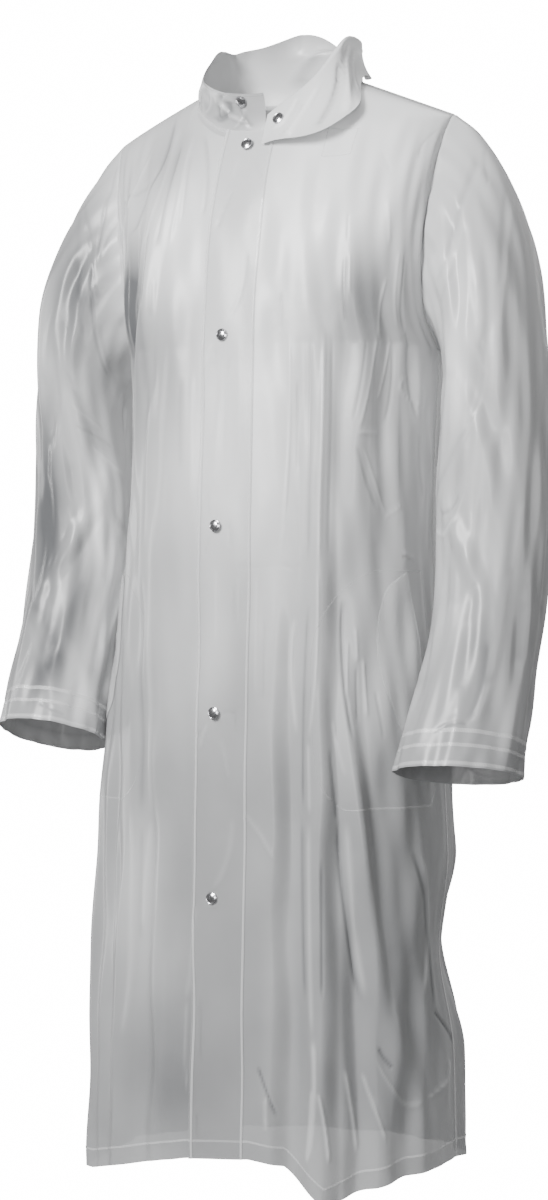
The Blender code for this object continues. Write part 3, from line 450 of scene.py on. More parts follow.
# Finer creases of a sleeve: half widths in degrees
SleeveCrease = namedtuple("SleeveCrease", "top_angle top_row bow low_angle low_row half_angle height sharp")
LEFT_CREASES = rows_of(
    SleeveCrease,
    (172, 2.29, 0, 150, 2.99, 7, -0.0005, 0.4),
    (167, 3.3, -6, 126, 5.07, 8.1, -0.0006, 0.4),
    (170, 3.53, -8, 119, 5.94, 8.1, 0.0006, 0.4),
    (143, 2.52, 0, 102, 4.74, 9.5, 0.0003, 0.4),
    (22, 4.46, 1, 67, 5.89, 10.4, -0.0005, 0.4),
    (97, 5.49, 12, 80, 7.22, 6.8, -0.0006, 0.4),
    (79, 7.13, 1, 20, 8.34, 12.9, -0.0007, 0.4),
    (103, 5.82, 12, 68, 7.53, 5.4, 0.0005, 0.4),
    (102, 7.48, 0, 81, 9.96, 10, 0.0007, 0.4),
    (137, 8.74, 0, 126, 9.98, 8.9, 0.0006, 0.4),
    (112, 7.62, 1, 100, 9.84, 8.7, -0.0006, 0.4),
    (63, 10.38, -5, 22, 11.8, 29.5, 0.0007, 0.4),
    (22, 11.78, 3, 10, 13.88, 14.1, 0.0007, 0.4),
    (104, 11.1, 3, 95, 12.81, 6.8, -0.0009, 0.4),
    (80, 12.04, 0, 82, 12.6, 7, 0.0006, 0.4),
    (124, 9.86, -1, 110, 11.94, 7.5, 0.0007, 0.4),
    (110, 11.9, 1, 99, 12.83, 7, 0.0007, 0.4),
    (144, 11.31, 0, 151, 13.11, 11.8, 0.0006, 0.4),
    (144, 10.31, 0, 142, 11.48, 8.5, -0.0006, 0.4),
    (90, 10.1, 0, 80, 10.89, 8.5, -0.0005, 0.4),
    (186, 3.2, -6, 170, 8, 17.6, 0.0009, 0.4),
    (196, 8.5, 4, 200, 13, 17.6, 0.0012, 0.4),
    (236, 1.2, 8, 262, 5.6, 17.6, 0.001, 0.4),
    (280, 5, -8, 232, 8.6, 15.8, -0.001, 0.4),
    (250, 8.6, 6, 284, 12.4, 17.6, 0.0012, 0.4),
    (330, 2, 6, 310, 6, 17.6, 0.0009, 0.4),
)
LEFT_ACROSS = rows_of(
    AcrossCrease,
    (95, 2.59, 0.02, 163.5, 2.31, 0.25, -0.0009, 0.3),
    (64, 2.41, 0.24, 99.5, 2.57, 0.26, -0.0007, 0.3),
    (71, 3.27, -0.04, 119.5, 2.85, 0.27, 0.0006, 0.3),
    (54.5, 2.97, 0, 88.5, 3.34, 0.22, -0.0005, 0.3),
    (28, 8.84, 0.45, 78, 8.41, 0.11, 0.0013, 0.6),
    (39, 8.58, 0.19, 71.5, 8.41, 0.1, -0.0012, 0.7),
    (62, 13.04, -0.1, 95.5, 12.86, 0.08, -0.0011, 0.7),
)
RIGHT_CREASES = rows_of(
    SleeveCrease,
    (163, 1, 0, 92, 2.05, 9, -0.001, 0.4),
    (134, 0.25, 0, 93, 1.95, 8.5, -0.0009, 0.4),
    (98, 2.05, -6, 22, 4, 8, -0.0009, 0.4),
    (60, 3.51, -8, 22, 6.5, 13.3, -0.0002, 0.4),
    (43, 7.39, 27, -22, 9.61, 15.9, 0.0006, 0.4),
    (24, 8.32, 7, -22, 9.51, 9.3, -0.0006, 0.4),
    (69, 4.02, 0, 60, 5.91, 12.1, 0.0002, 0.4),
    (92, 6.31, -2, 90, 10.03, 11.5, 0.0004, 0.4),
    (60, 2.34, -19, -14, 6.54, 9.3, -0.0003, 0.4),
    (44, 3.11, 0, 18, 4.39, 11.3, 0.0002, 0.4),
    (124, 3.11, 0, 78, 4.18, 18.2, 0.0002, 0.4),
    (74, 7.48, 4, 62, 9.89, 11.5, -0.0005, 0.4),
    (89, 10.1, 2, 48, 12.27, 11.5, 0.0006, 0.4),
    (54, 11.64, -2, -9, 14, 15.7, 0.0006, 0.4),
    (154, 10.33, -25, 42, 13.3, 13.5, -0.0006, 0.4),
    (108, 10.38, 0, 86, 11.22, 7.5, 0.0004, 0.4),
    (35, 10.14, -1, 8, 11.52, 17.2, 0.0006, 0.4),
    (57, 10.31, 0, 30, 11.71, 12.1, -0.0004, 0.4),
    (338, 10.17, 9, 358, 11.73, 16.5, -0.0008, 0.4),
    (124, 11.15, -4, 40, 13.63, 11.3, 0.0005, 0.4),
    (336, 11.36, 0, 347, 12.08, 9.8, 0.0006, 0.4),
    (25, 12.04, -1, -38, 13.65, 20.6, -0.0005, 0.4),
    (186, 3.2, 6, 176, 8, 17.6, 0.0009, 0.4),
    (232, 1.4, 8, 258, 5.8, 17.6, 0.001, 0.4),
    (276, 5.2, -8, 236, 8.4, 15.8, -0.001, 0.4),
    (254, 8.8, 6, 280, 12.6, 17.6, 0.0012, 0.4),
)
RIGHT_ACROSS = rows_of(
    AcrossCrease,
    (17, 6.66, -0.06, 63, 6.52, 0.1, -0.0008, 0.7),
    (5, 7.46, -0.02, 46, 6.89, 0.12, 0.0008, 0.6),
    (58.5, 2.38, -0.26, 165.5, 2.55, 0.16, -0.0005, 0.3),
    (92, 2.13, 0, 116, 2.34, 0.17, 0.0004, 0.3),
    (56, 3.62, -0.29, 156, 2.55, 0.27, -0.0004, 0.3),
    (29, 6.22, -0.05, 64, 5.98, 0.14, 0.0007, 0.6),
    (37, 13.7, 0.05, 70, 13.42, 0.09, -0.0007, 0.7),
)

CollarRow = namedtuple("CollarRow", "share height lean_deg drawn stand over_deg")
COLLAR_ROWS = rows_of(
    CollarRow,
    (0.00, 0.043, 20, 0.004, 0.50, 0),
    (0.12, 0.043, 12, 0.000, 0.50, 0),
    (0.27, 0.042, -14, 0.000, 0.55, 0),
    (0.40, 0.064, -16, 0.000, 0.65, 0),
    (0.48, 0.078, -18, 0.000, 0.72, 10),
    (0.55, 0.090, -24, 0.000, 0.64, 130),
    (0.62, 0.094, -26, 0.000, 0.57, 209),
    (0.70, 0.099, -23, 0.000, 0.47, 200),
    (0.78, 0.125, -16, 0.000, 0.34, 172),
    (0.86, 0.108, -10, -0.001, 0.28, 164),
    (0.93, 0.078, -4, -0.002, 0.28, 160),
    (1.00, 0.051, 2, -0.003, 0.26, 156),
)
COLLAR_CREASES = rows_of(
    Crease,
    (4, 0.20, 3, 12, 0.95, 2.2, 0.0021, 0.6),
    (14, 0.10, -2, 9, 0.80, 2.6, -0.0024, 0.5),
    (22, 0.15, 2, 17, 0.90, 2.6, 0.0021, 0.5),
    (36, 0.10, 2, 33, 0.95, 3.0, 0.0018, 0.4),
    (50, 0.30, -2, 54, 0.70, 3.0, -0.0018, 0.4),
    (70, 0.55, 2, 79, 0.98, 2.4, 0.0033, 0.7),
    (77, 0.48, -2, 86, 0.92, 2.0, -0.0027, 0.7),
    (83, 0.42, 2, 92, 0.98, 2.2, 0.0027, 0.7),
    (90, 0.38, -1, 97, 0.80, 2.0, 0.0021, 0.6),
    (3, 0.10, 1, 6, 0.92, 1.1, -0.0016, 0.7),
    (8, 0.05, -1, 5, 0.60, 1.0, 0.0014, 0.7),
    (12, 0.20, 1, 10, 0.95, 1.1, -0.0018, 0.6),
    (18, 0.10, -1, 14, 0.85, 1.1, 0.0016, 0.6),
    (21, 0.05, 1, 19, 0.70, 1.1, -0.0014, 0.6),
    (66, 0.60, 1, 74, 0.98, 1.1, 0.0016, 0.7),
    (73, 0.50, 2, 85, 0.95, 1.2, -0.0018, 0.7),
    (88, 0.50, -1, 95, 0.95, 1.0, -0.0014, 0.7),
)
# The collar: the share of its height that rolls, the steps in which its profile is summed, its mesh rows
# below, in and above the roll, where its ends are, how far it is lifted, and how its lean grows upwards
ROLL = 0.14
COLLAR_STEPS = 200
COLLAR_RISES = (12, 16, 16)
COLLAR_LEFT_X = 0.022
COLLAR_RIGHT_X = 0.016
COLLAR_LIFT = 0.0022
COLLAR_BEND = 1.6
COLLAR_FRONT_COLUMNS = 81
COLLAR_BACK_COLUMNS = 97
# The collar's foot: how far down the yoke it reaches, and how far out and up it lies there
FOOT_DOWN = 0.022
FOOT_OUT = 0.0006
FOOT_UP = 0.0003
FOOT_TOP_OUT = 0.0004
Wave = namedtuple("Wave", "height along up")
COLLAR_WAVES = rows_of(Wave, (0.0012, 34, 2.2), (0.0008, 71, -3.0))

# A pocket piece's two long edges, from the top corner down
PocketRow = namedtuple("PocketRow", "z front_angle side_angle")
FLAP_ROWS = rows_of(
    PocketRow,
    (-0.543, 64.5, 66.0),
    (-0.556, 57.5, 67.5),
    (-0.578, 53.0, 69.5),
    (-0.604, 51.0, 71.5),
    (-0.634, 51.5, 74.0),
    (-0.664, 54.0, 76.5),
    (-0.692, 58.0, 79.0),
    (-0.716, 64.0, 81.0),
    (-0.730, 72.0, 82.5),
)
BAG_ROWS = rows_of(
    PocketRow,
    (-0.540, 50.0, 78.0),
    (-0.552, 42.0, 79.0),
    (-0.580, 32.0, 80.5),
    (-0.620, 27.5, 82.0),
    (-0.680, 27.0, 83.0),
    (-0.740, 28.0, 83.0),
    (-0.775, 31.0, 82.0),
    (-0.792, 38.0, 78.0),
)
PATCH_ROWS = rows_of(
    PocketRow,
    (-0.066, 24.8, 35.5),
    (-0.082, 24.8, 35.5),
    (-0.098, 24.8, 35.5),
)

# How finely the sheets and the studs are laid out
BODY_ROWS = 280
YOKE_ROWS = 100
FRONT_NECK_COLUMNS = 60
FRONT_SIDE_COLUMNS = 148
BACK_NECK_COLUMNS = 46
BACK_SIDE_COLUMNS = 70
RING_POINTS = 240
RING_ROWS = 280
CUFF_ROWS = 14
HEM_ROWS = 7
STRIP_COLUMNS = 18
STUD_SIDES = 40
SHARP_FROM = radians(40)

# How far what lies on a film is moved out of it, or into the coat
WELD_OUT = 0.0003
RING_WELD_OUT = 0.0004
SEAM_WELD_OUT = 0.0005
STRIP_OUT = 0.0009
STRIP_WELD_OUT = 0.0013
TURN_UP_IN = 0.0007
PATCH_IN = 0.0009
PATCH_WELD_OUT = 0.0013

# Where the welds run: across the closing strip, in sleeve rows at cuff and armhole, down from the shoulder
CLOSING_WELDS = (("inner", PLACKET_EDGE - 0.002), ("outer", -LAP + 0.003))
CUFF_MIDDLE_WELD = 0.62
CUFF_EDGE_WELD = 0.10
CUFF_WELD_HALF = 0.05
ARMHOLE_WELD_ROWS = 0.22
SHOULDER_WELD_DOWN = 0.012
PATCH_WELD_SHARE = 0.6

# The closed studs down the front, from the top one on
STUD_NUMBERS = range(1, 6)
# A press stud's cap as shares of its radius and heights: a rolled rim, a shallow groove and a low dome
CAP_PROFILE = (
    (0.0, 0.0),
    (0.90, 0.0),
    (0.98, 0.0003),
    (1.0, 0.0008),
    (0.97, 0.0013),
    (0.90, 0.0015),
    (0.84, 0.0013),
    (0.80, 0.0014),
    (0.66, 0.0020),
    (0.46, 0.0024),
    (0.24, 0.0026),
    (0.0, 0.0027),
)
# A face of a stud is flat where this share of its direction is along the stud's axis
FLAT_FROM = 0.999

# The stage, in metres and watts
FLOOR_RADIUS = 0.60
FLOOR_Z = -1.50
FLOOR_SIDES = 96
CAMERA_TURN = radians(27)
CAMERA_AWAY = 2.8
CAMERA_Z = -0.572
LENS = 75.6
LENS_SHIFT = -0.005
Lamp = namedtuple("Lamp", "name place aim width height power")
LAMPS = rows_of(
    Lamp,
    ("key_softbox", (-0.45, -2.3, 0.75), (0, 0, -0.28), 0.8, 1.1, 132),
    ("left_strip", (-2.3, 0.1, -0.4), (0, 0, -0.60), 0.3, 1.8, 18),
    ("right_strip", (2.3, 0.3, 0.0), (0, 0, -0.45), 0.3, 1.6, 8),
    ("front_softbox", (0.9, -2.3, -0.4), (0, 0, -0.80), 0.5, 0.9, 18),
    ("top_softbox", (0.2, 0.4, 1.4), (0, 0, -0.2), 0.8, 0.8, 10),
    ("back_softbox", (0.5, 2.5, 0.5), (0, 0, -0.50), 0.9, 1.3, 95),
)


class RaincoatSizes(bpy.types.PropertyGroup):
    crease: FloatProperty(
        name="Crease depth",
        description="Times the height of the finer creases",
        default=1.0,
        min=0.0,
        max=2.0,
    )
    hem_band: FloatProperty(
        name="Hem turn-up",
        description="Height of the welded turn-up at the hem",
        default=0.020,
        unit="LENGTH",
    )
    cuff_band: FloatProperty(
        name="Cuff turn-up",
        description="Height of the welded turn-up at each cuff, in sleeve rows",
        default=1.0,
    )
    weld: FloatProperty(
        name="Weld width", description="Width of a weld line", default=0.0024, unit="LENGTH"
    )
    stud_radius: FloatProperty(
        name="Stud radius", description="Radius of a press stud's cap", default=0.0066, unit="LENGTH"
    )


class RaincoatColours(bpy.types.PropertyGroup):
    # The film's colour goes from the dark one to the milky one by painted light and shade, and a little by
    # random clouding
    milk: FloatVectorProperty(
        name="Milky film",
        description="Colour of the film where it is most clouded",
        subtype="COLOR",
        default=(0.89, 0.895, 0.90),
    )
    smoke_and_painted_shade: FloatVectorProperty(
        name="Clear film",
        description="Colour of the film where it is least clouded",
        subtype="COLOR",
        default=(0.100, 0.103, 0.108),
    )
    opacity: FloatProperty(
        name="Film opacity",
        description="How much of the light one layer of film holds back",
        default=0.92,
        subtype="FACTOR",
    )
    metal: FloatVectorProperty(
        name="Stud metal",
        description="Colour of the press studs",
        subtype="COLOR",
        default=(0.62, 0.62, 0.64),
    )


def sizes():
    """The sizes that the panel shows."""
    return bpy.context.scene.raincoat_sizes


def colours():
    """The colours that the panel shows."""
    return bpy.context.scene.raincoat_colours


def column(rows, name):
    """One named column of a table."""
    return [getattr(row, name) for row in rows]


def ease(share):
    """0 to 1 with level ends: 3 s^2 - 2 s^3."""
    share = np.clip(share, 0, 1)
    return share * share * (3 - 2 * share)


def smooth_through(at, knots, values):
    """A cubic through the knots, whose slope at each is that between its neighbours."""
    knots = np.asarray(knots, float)
    values = np.asarray(values, float)
    slopes = np.gradient(values, knots)
    at = np.clip(at, knots[0], knots[-1])
    i = np.clip(np.searchsorted(knots, at, side="right") - 1, 0, len(knots) - 2)
    span = knots[i + 1] - knots[i]
    t = (at - knots[i]) / span
    rise = values[i + 1] - values[i]
    bend = slopes[i] * span - rise
    turn = rise - slopes[i + 1] * span
    return values[i] + t * rise + t * (1 - t) * ((1 - t) * bend + t * turn)


def read_off(rows, known, wanted, at):
    """A table's wanted column at values of its known one, smoothly between its rows."""
    return smooth_through(at, column(rows, known), column(rows, wanted))


def unit(vectors):
    """Vectors divided by their lengths."""
    return vectors / np.maximum(np.linalg.norm(vectors, axis=-1, keepdims=True), 1e-12)


def around(angle):
    """The same angle between -180 and 180."""
    return (angle + 180) % 360 - 180


def fold_height(folds, angle, level):
    """Sum of bells across each fold, grown to its middle and faded to what is left over at its end."""
    total = np.zeros(np.broadcast(angle, level).shape)
    for top_angle, top, low_angle, low, half_angle, depth, left_over in folds:
        share = (level - top) / (low - top)
        middle = top_angle + (low_angle - top_angle) * np.clip(share, 0, 1)
        faded = 1 - (1 - left_over) * ease(2 * share - 1)
        total += depth * ease(1 - np.abs(around(angle - middle) / half_angle)) * ease(2 * share) * faded
    return total


def ridge(offset, sharp):
    """A crease's cross section: a bell, mixed with the square of a tent, which has a sharp top."""
    tent = np.clip(1 - np.abs(offset), 0, 1)
    return (1 - sharp) * ease(tent) + sharp * tent**2


def ends(share):
    """A crease's height along its length: it grows from nothing and fades to nothing over a seventh."""
    return ease(CREASE_PARTS * share) * ease(CREASE_PARTS - CREASE_PARTS * share)


def crease_height(creases, angle, level, degree):
    """Sum of the creases that run from a first level to a last one.

    The middle of a crease goes straight from its first angle to its last, bowed by a parabola. Across it
    the height follows ridge(), and along it ends().
    """
    total = np.zeros(np.broadcast(angle, level).shape)
    for first, top, bow, last, low, half, height, sharp in creases:
        share = (level - top) / (low - top)
        held = np.clip(share, 0, 1)
        turn = around(last - first)
        middle = first + turn * held + bow * 4 * held * (1 - held)
        slope = np.hypot(1.0, turn * degree / (low - top)) if degree else 1.0
        away = around(angle - middle) * (degree or 1.0) / slope
        total += height * ridge(away / half, sharp) * ends(share)
    return total


def across_height(creases, angle, level):
    """The same for creases that run across, with the level's offset as the distance."""
    total = np.zeros(np.broadcast(angle, level).shape)
    for first, first_z, bow, last, last_z, half, height, sharp in creases:
        share = around(angle - first) / (last - first)
        held = np.clip(share, 0, 1)
        middle = first_z + (last_z - first_z) * held + bow * 4 * held * (1 - held)
        total += height * ridge((level - middle) / half, sharp) * ends(share)
    return total


def ripple_height(angle, level):
    """Sum of sine waves that run slantwise over the film."""
    return sum(
        wave.height * np.sin(2 * pi * (angle * wave.per_degree + level * wave.per_metre) + wave.start)
        for wave in RIPPLES
    )


def painted_shading_at(tones, angle, level):
    """Painted light and shade: the sum of soft patches, each a bell round its middle one way times a bell
    along the other.
    """
    return sum(
        tone.lighter
        * ease(1 - np.abs(around(angle - tone.angle) / tone.half_angle))
        * ease(1 - np.abs(level - tone.level) / tone.half_level)
        for tone in tones
    )


def shoulder_height(x):
    """The shoulder seam: level across the neck, then straight down to either side."""
    return -SHOULDER_SLOPE * np.maximum(np.abs(x) - NECK_HALF, 0)


def top_height(x, neck_drop):
    """The upper edge of a body panel: the neckline's ellipse, then the shoulder seam."""
    return shoulder_height(x) - neck_drop * np.sqrt(np.clip(1 - (x / NECK_HALF) ** 2, 0, 1))


def hem_height(angle):
    """The hem's height at an angle, straight between the points of its table."""
    return np.interp(around(angle), column(HEM, "angle"), column(HEM, "z"))


def half_width_at(up, low_z):
    """Half the coat's width: from the sections below the armpit, and the armhole's edge above it."""
    edge_x = read_off(ARMHOLE, "up", "x", np.clip(up - 1, 0, 1))
    return np.where(up > 1, edge_x, read_off(SECTIONS, "z", "half_width", low_z))


def across(half_width, turn):
    """How far across the skin is at a turn: the half width times sin(turn)^p, with the turn's sign."""
    return half_width * np.sign(turn) * np.abs(np.sin(np.radians(turn))) ** SKIN_POWER


def body_points(facing, turn, up, sink=0.0, looks=False):
    """Points of the skin at turns from a face's middle and at heights up: 0 hem, 1 armpit, 2 top edge.

    x is the half width times sin(turn)^p, and y the depth times cos(turn)^p, shrunk towards the shoulder by
    sqrt(1 - (1 - drop)^q) and held open at the armhole. Folds, creases and ripples move a point outward.
    """
    turn, up = np.broadcast_arrays(np.asarray(turn, float), np.asarray(up, float))
    yoke = np.clip(up - 1, 0, 1)
    angle = around(turn if facing < 0 else 180 - turn)
    sine, cosine = np.sin(np.radians(turn)), np.cos(np.radians(turn))
    hem_z = hem_height(angle)
    low_z = hem_z + (ARMPIT_Z - hem_z) * np.clip(up, 0, 1)
    open_by = read_off(ARMHOLE, "up", "open", yoke)
    x = across(half_width_at(up, low_z), turn)
    z = low_z + (top_height(x, FRONT_NECK_DROP if facing < 0 else BACK_NECK_DROP) - ARMPIT_Z) * yoke
    depth = read_off(SECTIONS, "z", "front_depth" if facing < 0 else "back_depth", z)
    rounding = FRONT_ROUNDING if facing < 0 else BACK_ROUNDING
    below = np.clip((shoulder_height(x) - z) / rounding.drop, 0, 1)
    upright = np.sqrt(1 - (1 - below) ** rounding.power)
    side = open_by + (1 - open_by) * np.clip(cosine, 0, 1) ** SKIN_POWER
    y = SEAM_Y + facing * depth * upright * side
    fine = crease_height(DOWN_CREASES, angle, z, METRES_PER_DEGREE) + across_height(ACROSS_CREASES, angle, z)
    if facing > 0:
        mirrored = around(BACK_TURN - angle)
        shown = ease((BACK_CREASES_END - np.abs(mirrored)) / BACK_CREASES_FADE)
        fine += crease_height(DOWN_CREASES, mirrored, z, METRES_PER_DEGREE) * shown
    fine = fine * sizes().crease
    # The looks are painted light and shade: the painted patches, and the crease heights that paint ridges
    # lighter and troughs darker
    if looks:
        return np.stack([painted_shading_at(BODY_PAINTED_SHADING, angle, z), fine / CREASE_HIGH], -1)
    fine = (fine + ripple_height(angle, z)) * ease(below * SHOULDER_PARTS)
    fine = fine * ease((90 - np.abs(turn)) / SEAM_FADE)
    out = fold_height(BODY_FOLDS, angle, z) * upright - sink + fine * (0.5 + 0.5 * ease(up / HEM_FADE))
    outward = np.stack([sine * upright, facing * cosine * upright, np.sqrt(1 - upright**2)], -1)
    return np.stack([x, y, z], -1) + outward * out[..., None]


def turn_at(x, half_width):
    """The turn at which the skin is x across."""
    share = np.clip(np.abs(x) / half_width, 0, 1) ** (1 / SKIN_POWER)
    return np.sign(x) * np.degrees(np.arcsin(share))


def level_width(up):
    """Half the coat's width at heights up a panel, taken as though its hem were level."""
    low_z = LOWEST_HEM + (ARMPIT_Z - LOWEST_HEM) * np.clip(up, 0, 1)
    return half_width_at(up, low_z)


def own_sink(turn, up, side):
    """How far the under lap is drawn in: all of it near the closing, and nothing past the strip."""
    if side > 0:
        return 0.0
    x = across(level_width(up), turn)
    return LAP_SINK * (1 - ease((x - SUNK_TO) / (SINK_ENDS - SUNK_TO)))


def front_points(side, turn, up, looks=False):
    """Points of a front: those of the skin, drawn in where the other front laps over it."""
    return body_points(-1, turn * side, up, own_sink(turn, up, side), looks)


def up_levels():
    """Heights up a panel at its mesh rows, even below the armpit and even above it."""
    return np.concatenate([np.linspace(0, 1, BODY_ROWS + 1), np.linspace(1, 2, YOKE_ROWS + 1)[1:]])


NECK_TURN = float(turn_at(NECK_HALF, SHOULDER_TIP))


def front_turns(up):
    """Turns of a front's columns: set close at the neck point, where the neckline is steep."""
    swing = np.linspace(np.arcsin(-LAP / NECK_HALF), pi / 2, FRONT_NECK_COLUMNS + 1)
    at_top = turn_at(NECK_HALF * np.sin(swing), SHOULDER_TIP)
    share = (at_top - at_top[0]) / (at_top[-1] - at_top[0])
    edge = turn_at(-LAP, level_width(up))
    neck = edge + (NECK_TURN - edge) * share
    side = np.linspace(NECK_TURN, 90, FRONT_SIDE_COLUMNS + 1)[1:]
    return np.concatenate([neck, np.broadcast_to(side, (len(up), len(side)))], axis=1)


def front_grid(side, looks=False):
    """A front's points, with its columns ordered so that its faces point outwards."""
    up = up_levels()[:, None]
    return front_points(side, front_turns(up), up, looks)[:, ::side]


def back_turns():
    """Turns of the back's columns: set close at both neck points."""
    swing = np.linspace(-pi / 2, pi / 2, BACK_NECK_COLUMNS + 1)
    neck = turn_at(NECK_HALF * np.sin(swing), SHOULDER_TIP)
    side = np.linspace(NECK_TURN, 90, BACK_SIDE_COLUMNS + 1)[1:]
    return np.concatenate([-side[::-1], neck, side])[::-1]


def back_grid(looks=False):
    """The back's points, from its left side seam to its right one."""
    return body_points(1, back_turns()[None, :], up_levels()[:, None], 0.0, looks)


def grid_normals(points, closed=False):
    """Outward directions at the points of a grid whose columns run anticlockwise seen from above."""
    if closed:
        along = np.roll(points, -1, axis=1) - np.roll(points, 1, axis=1)
    else:
        along = np.gradient(points, axis=1)
    return unit(np.cross(along, np.gradient(points, axis=0)))


def moved_out(points, by, closed=False):
    """A grid's points, each moved some way along its outward direction."""
    return points + grid_normals(points, closed) * by


def lengths_along(points, axis):
    """Distance from the first point, along a grid's rows or columns."""
    step = np.linalg.norm(np.diff(points, axis=axis), axis=-1)
    return np.insert(np.cumsum(step, axis=axis), 0, 0.0, axis=axis)


def placed_object(name, data):
    """A new object of the scene."""
    obj = bpy.data.objects.new(name, data)
    bpy.context.scene.collection.objects.link(obj)
    return obj


def sheet_object(name, points, material, closed=False, looks=None):
    """A mesh of one quad for each cell of a grid, with its lengths across and up as its UV map.

    The looks are two numbers a point, both painted light and shade: how much lighter its film is painted, and
    how high it lies on a crease, which paints ridges lighter and troughs darker.
    """
    rows, columns = points.shape[:2]
    if closed:
        points = np.concatenate([points, points[:, :1]], axis=1)
    index = np.arange(rows * columns).reshape(rows, columns)
    corner = np.arange(points.shape[0] * points.shape[1]).reshape(points.shape[:2])
    if closed:
        index = np.concatenate([index, index[:, :1]], axis=1)
    near, far = slice(None, -1), slice(1, None)
    cells = (near, near), (near, far), (far, far), (far, near)
    faces = np.stack([index[cell] for cell in cells], -1).reshape(-1, 4)
    corners = np.stack([corner[cell] for cell in cells], -1).reshape(-1)
    mesh = bpy.data.meshes.new(name)
    vertices = points[:, :columns].reshape(-1, 3)
    mesh.vertices.add(len(vertices))
    mesh.vertices.foreach_set("co", vertices.astype(np.float32).ravel())
    mesh.loops.add(faces.size)
    mesh.loops.foreach_set("vertex_index", faces.ravel().astype(np.int32))
    mesh.polygons.add(len(faces))
    mesh.polygons.foreach_set("loop_start", (np.arange(len(faces)) * 4).astype(np.int32))
    mesh.update(calc_edges=True)
    # Painted light and shade, held at each point for the film's colour
    if looks is not None:
        for number, kind in enumerate(("tone", "crease")):
            values = mesh.attributes.new(kind, "FLOAT", "POINT").data
            values.foreach_set("value", looks[..., number].astype(np.float32).ravel())
    lengths = np.stack([lengths_along(points, 1), lengths_along(points, 0)], -1).reshape(-1, 2)
    layer = mesh.uv_layers.new(name="UVMap")
    layer.data.foreach_set("uv", lengths[corners].astype(np.float32).ravel())
    mesh.materials.append(material)
    mesh.validate()
    mesh.shade_smooth()
    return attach(placed_object(name, mesh), "root")


def turned_object(name, profile, seat, axis, material):
    """A turned piece: a profile of radii and heights carried round an axis, with its place in its mesh."""
    sides = STUD_SIDES
    angle = np.linspace(0, 2 * pi, sides, endpoint=False)
    ring = np.stack([np.cos(angle), np.sin(angle)], -1)
    inner = profile[1:-1]
    heights = np.broadcast_to(inner[:, None, 1:], (len(inner), sides, 1))
    body = np.concatenate([inner[:, None, :1] * ring[None], heights], -1)
    vertices = np.concatenate([[[0, 0, profile[0, 1]]], body.reshape(-1, 3), [[0, 0, profile[-1, 1]]]])
    index = 1 + np.arange(len(inner) * sides).reshape(len(inner), sides)
    after = np.roll(index, -1, axis=1)
    walls = np.stack([index[:-1], after[:-1], after[1:], index[1:]], -1).reshape(-1, 4)
    top = len(vertices) - 1
    low = np.stack([after[0], index[0], np.zeros(sides, int)], -1)
    high = np.stack([index[-1], after[-1], np.full(sides, top)], -1)
    turn = np.array(Vector(axis).to_track_quat("Z", "Y").to_matrix())
    placed = vertices @ turn.T + np.array(seat)
    mesh = bpy.data.meshes.new(name)
    mesh.from_pydata(placed.tolist(), [], walls.tolist() + low.tolist() + high.tolist())
    mesh.materials.append(material)
    mesh.shade_smooth()
    mesh.set_sharp_from_angle(angle=SHARP_FROM)
    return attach(placed_object(name, mesh), "root")


class Shading:
    """A node tree and the few nodes that the coat's finishes are made of."""

    def __init__(self, tree):
        self.nodes, self.links = tree.nodes, tree.links

    def node(self, kind, **values):
        """A new node with its sockets set by name, _ standing for a space."""
        return set_inputs(self.nodes.new(f"ShaderNode{kind}"), **values)

    def noise(self, place, scale, detail=2.0):
        """Soft noise at a place, finer with a larger scale."""
        node = self.node("TexNoise", Scale=scale, Detail=detail, Roughness=0.5)
        self.links.new(place, node.inputs["Vector"])
        return node.outputs["Fac"]

    def mapped(self, value, low, high, to_low, to_high):
        """A value carried in a straight line from one range to another."""
        node = self.node("MapRange", From_Min=low, From_Max=high, To_Min=to_low, To_Max=to_high)
        self.links.new(value, node.inputs["Value"])
        return node.outputs["Result"]

    def mixed(self, factor, first, second):
        """The first colour turned by a factor into the second."""
        node = self.node("Mix")
        node.data_type = "RGBA"
        self.links.new(factor, node.inputs["Factor"])
        for socket, colour in zip(node.inputs[6:8], (first, second)):
            socket.default_value = (*colour, 1)
        return node.outputs[2]

    def attribute(self, name):
        """A number that the mesh holds at each of its points."""
        node = self.node("Attribute")
        node.attribute_name = name
        return node.outputs["Fac"]

    def added(self, first, second):
        """The sum of two values."""
        node = self.node("Math")
        self.links.new(first, node.inputs[0])
        self.links.new(second, node.inputs[1])
        return node.outputs["Value"]

    def bumped(self, height, distance, strength, before=None):
        """The surface's direction, tilted by the slope of a height."""
        node = self.node("Bump", Distance=distance, Strength=strength)
        self.links.new(height, node.inputs["Height"])
        if before is not None:
            self.links.new(before, node.inputs["Normal"])
        return node.outputs["Normal"]


def set_inputs(node, **values):
    """A node, its sockets set by name, _ standing for a space."""
    for name, value in values.items():
        node.inputs[name.replace("_", " ")].default_value = value
    return node


def new_material(name):
    """A Principled material: itself, its node tree, its shader and its object coordinates."""
    material = bpy.data.materials.new(name)
    material.use_nodes = True
    tree = Shading(material.node_tree)
    return material, tree, tree.nodes["Principled BSDF"], tree.node("TexCoord").outputs["Object"]


def dimmed(colour, share):
    """A colour with each of its parts brought down to a share."""
    return tuple(share * part for part in colour)


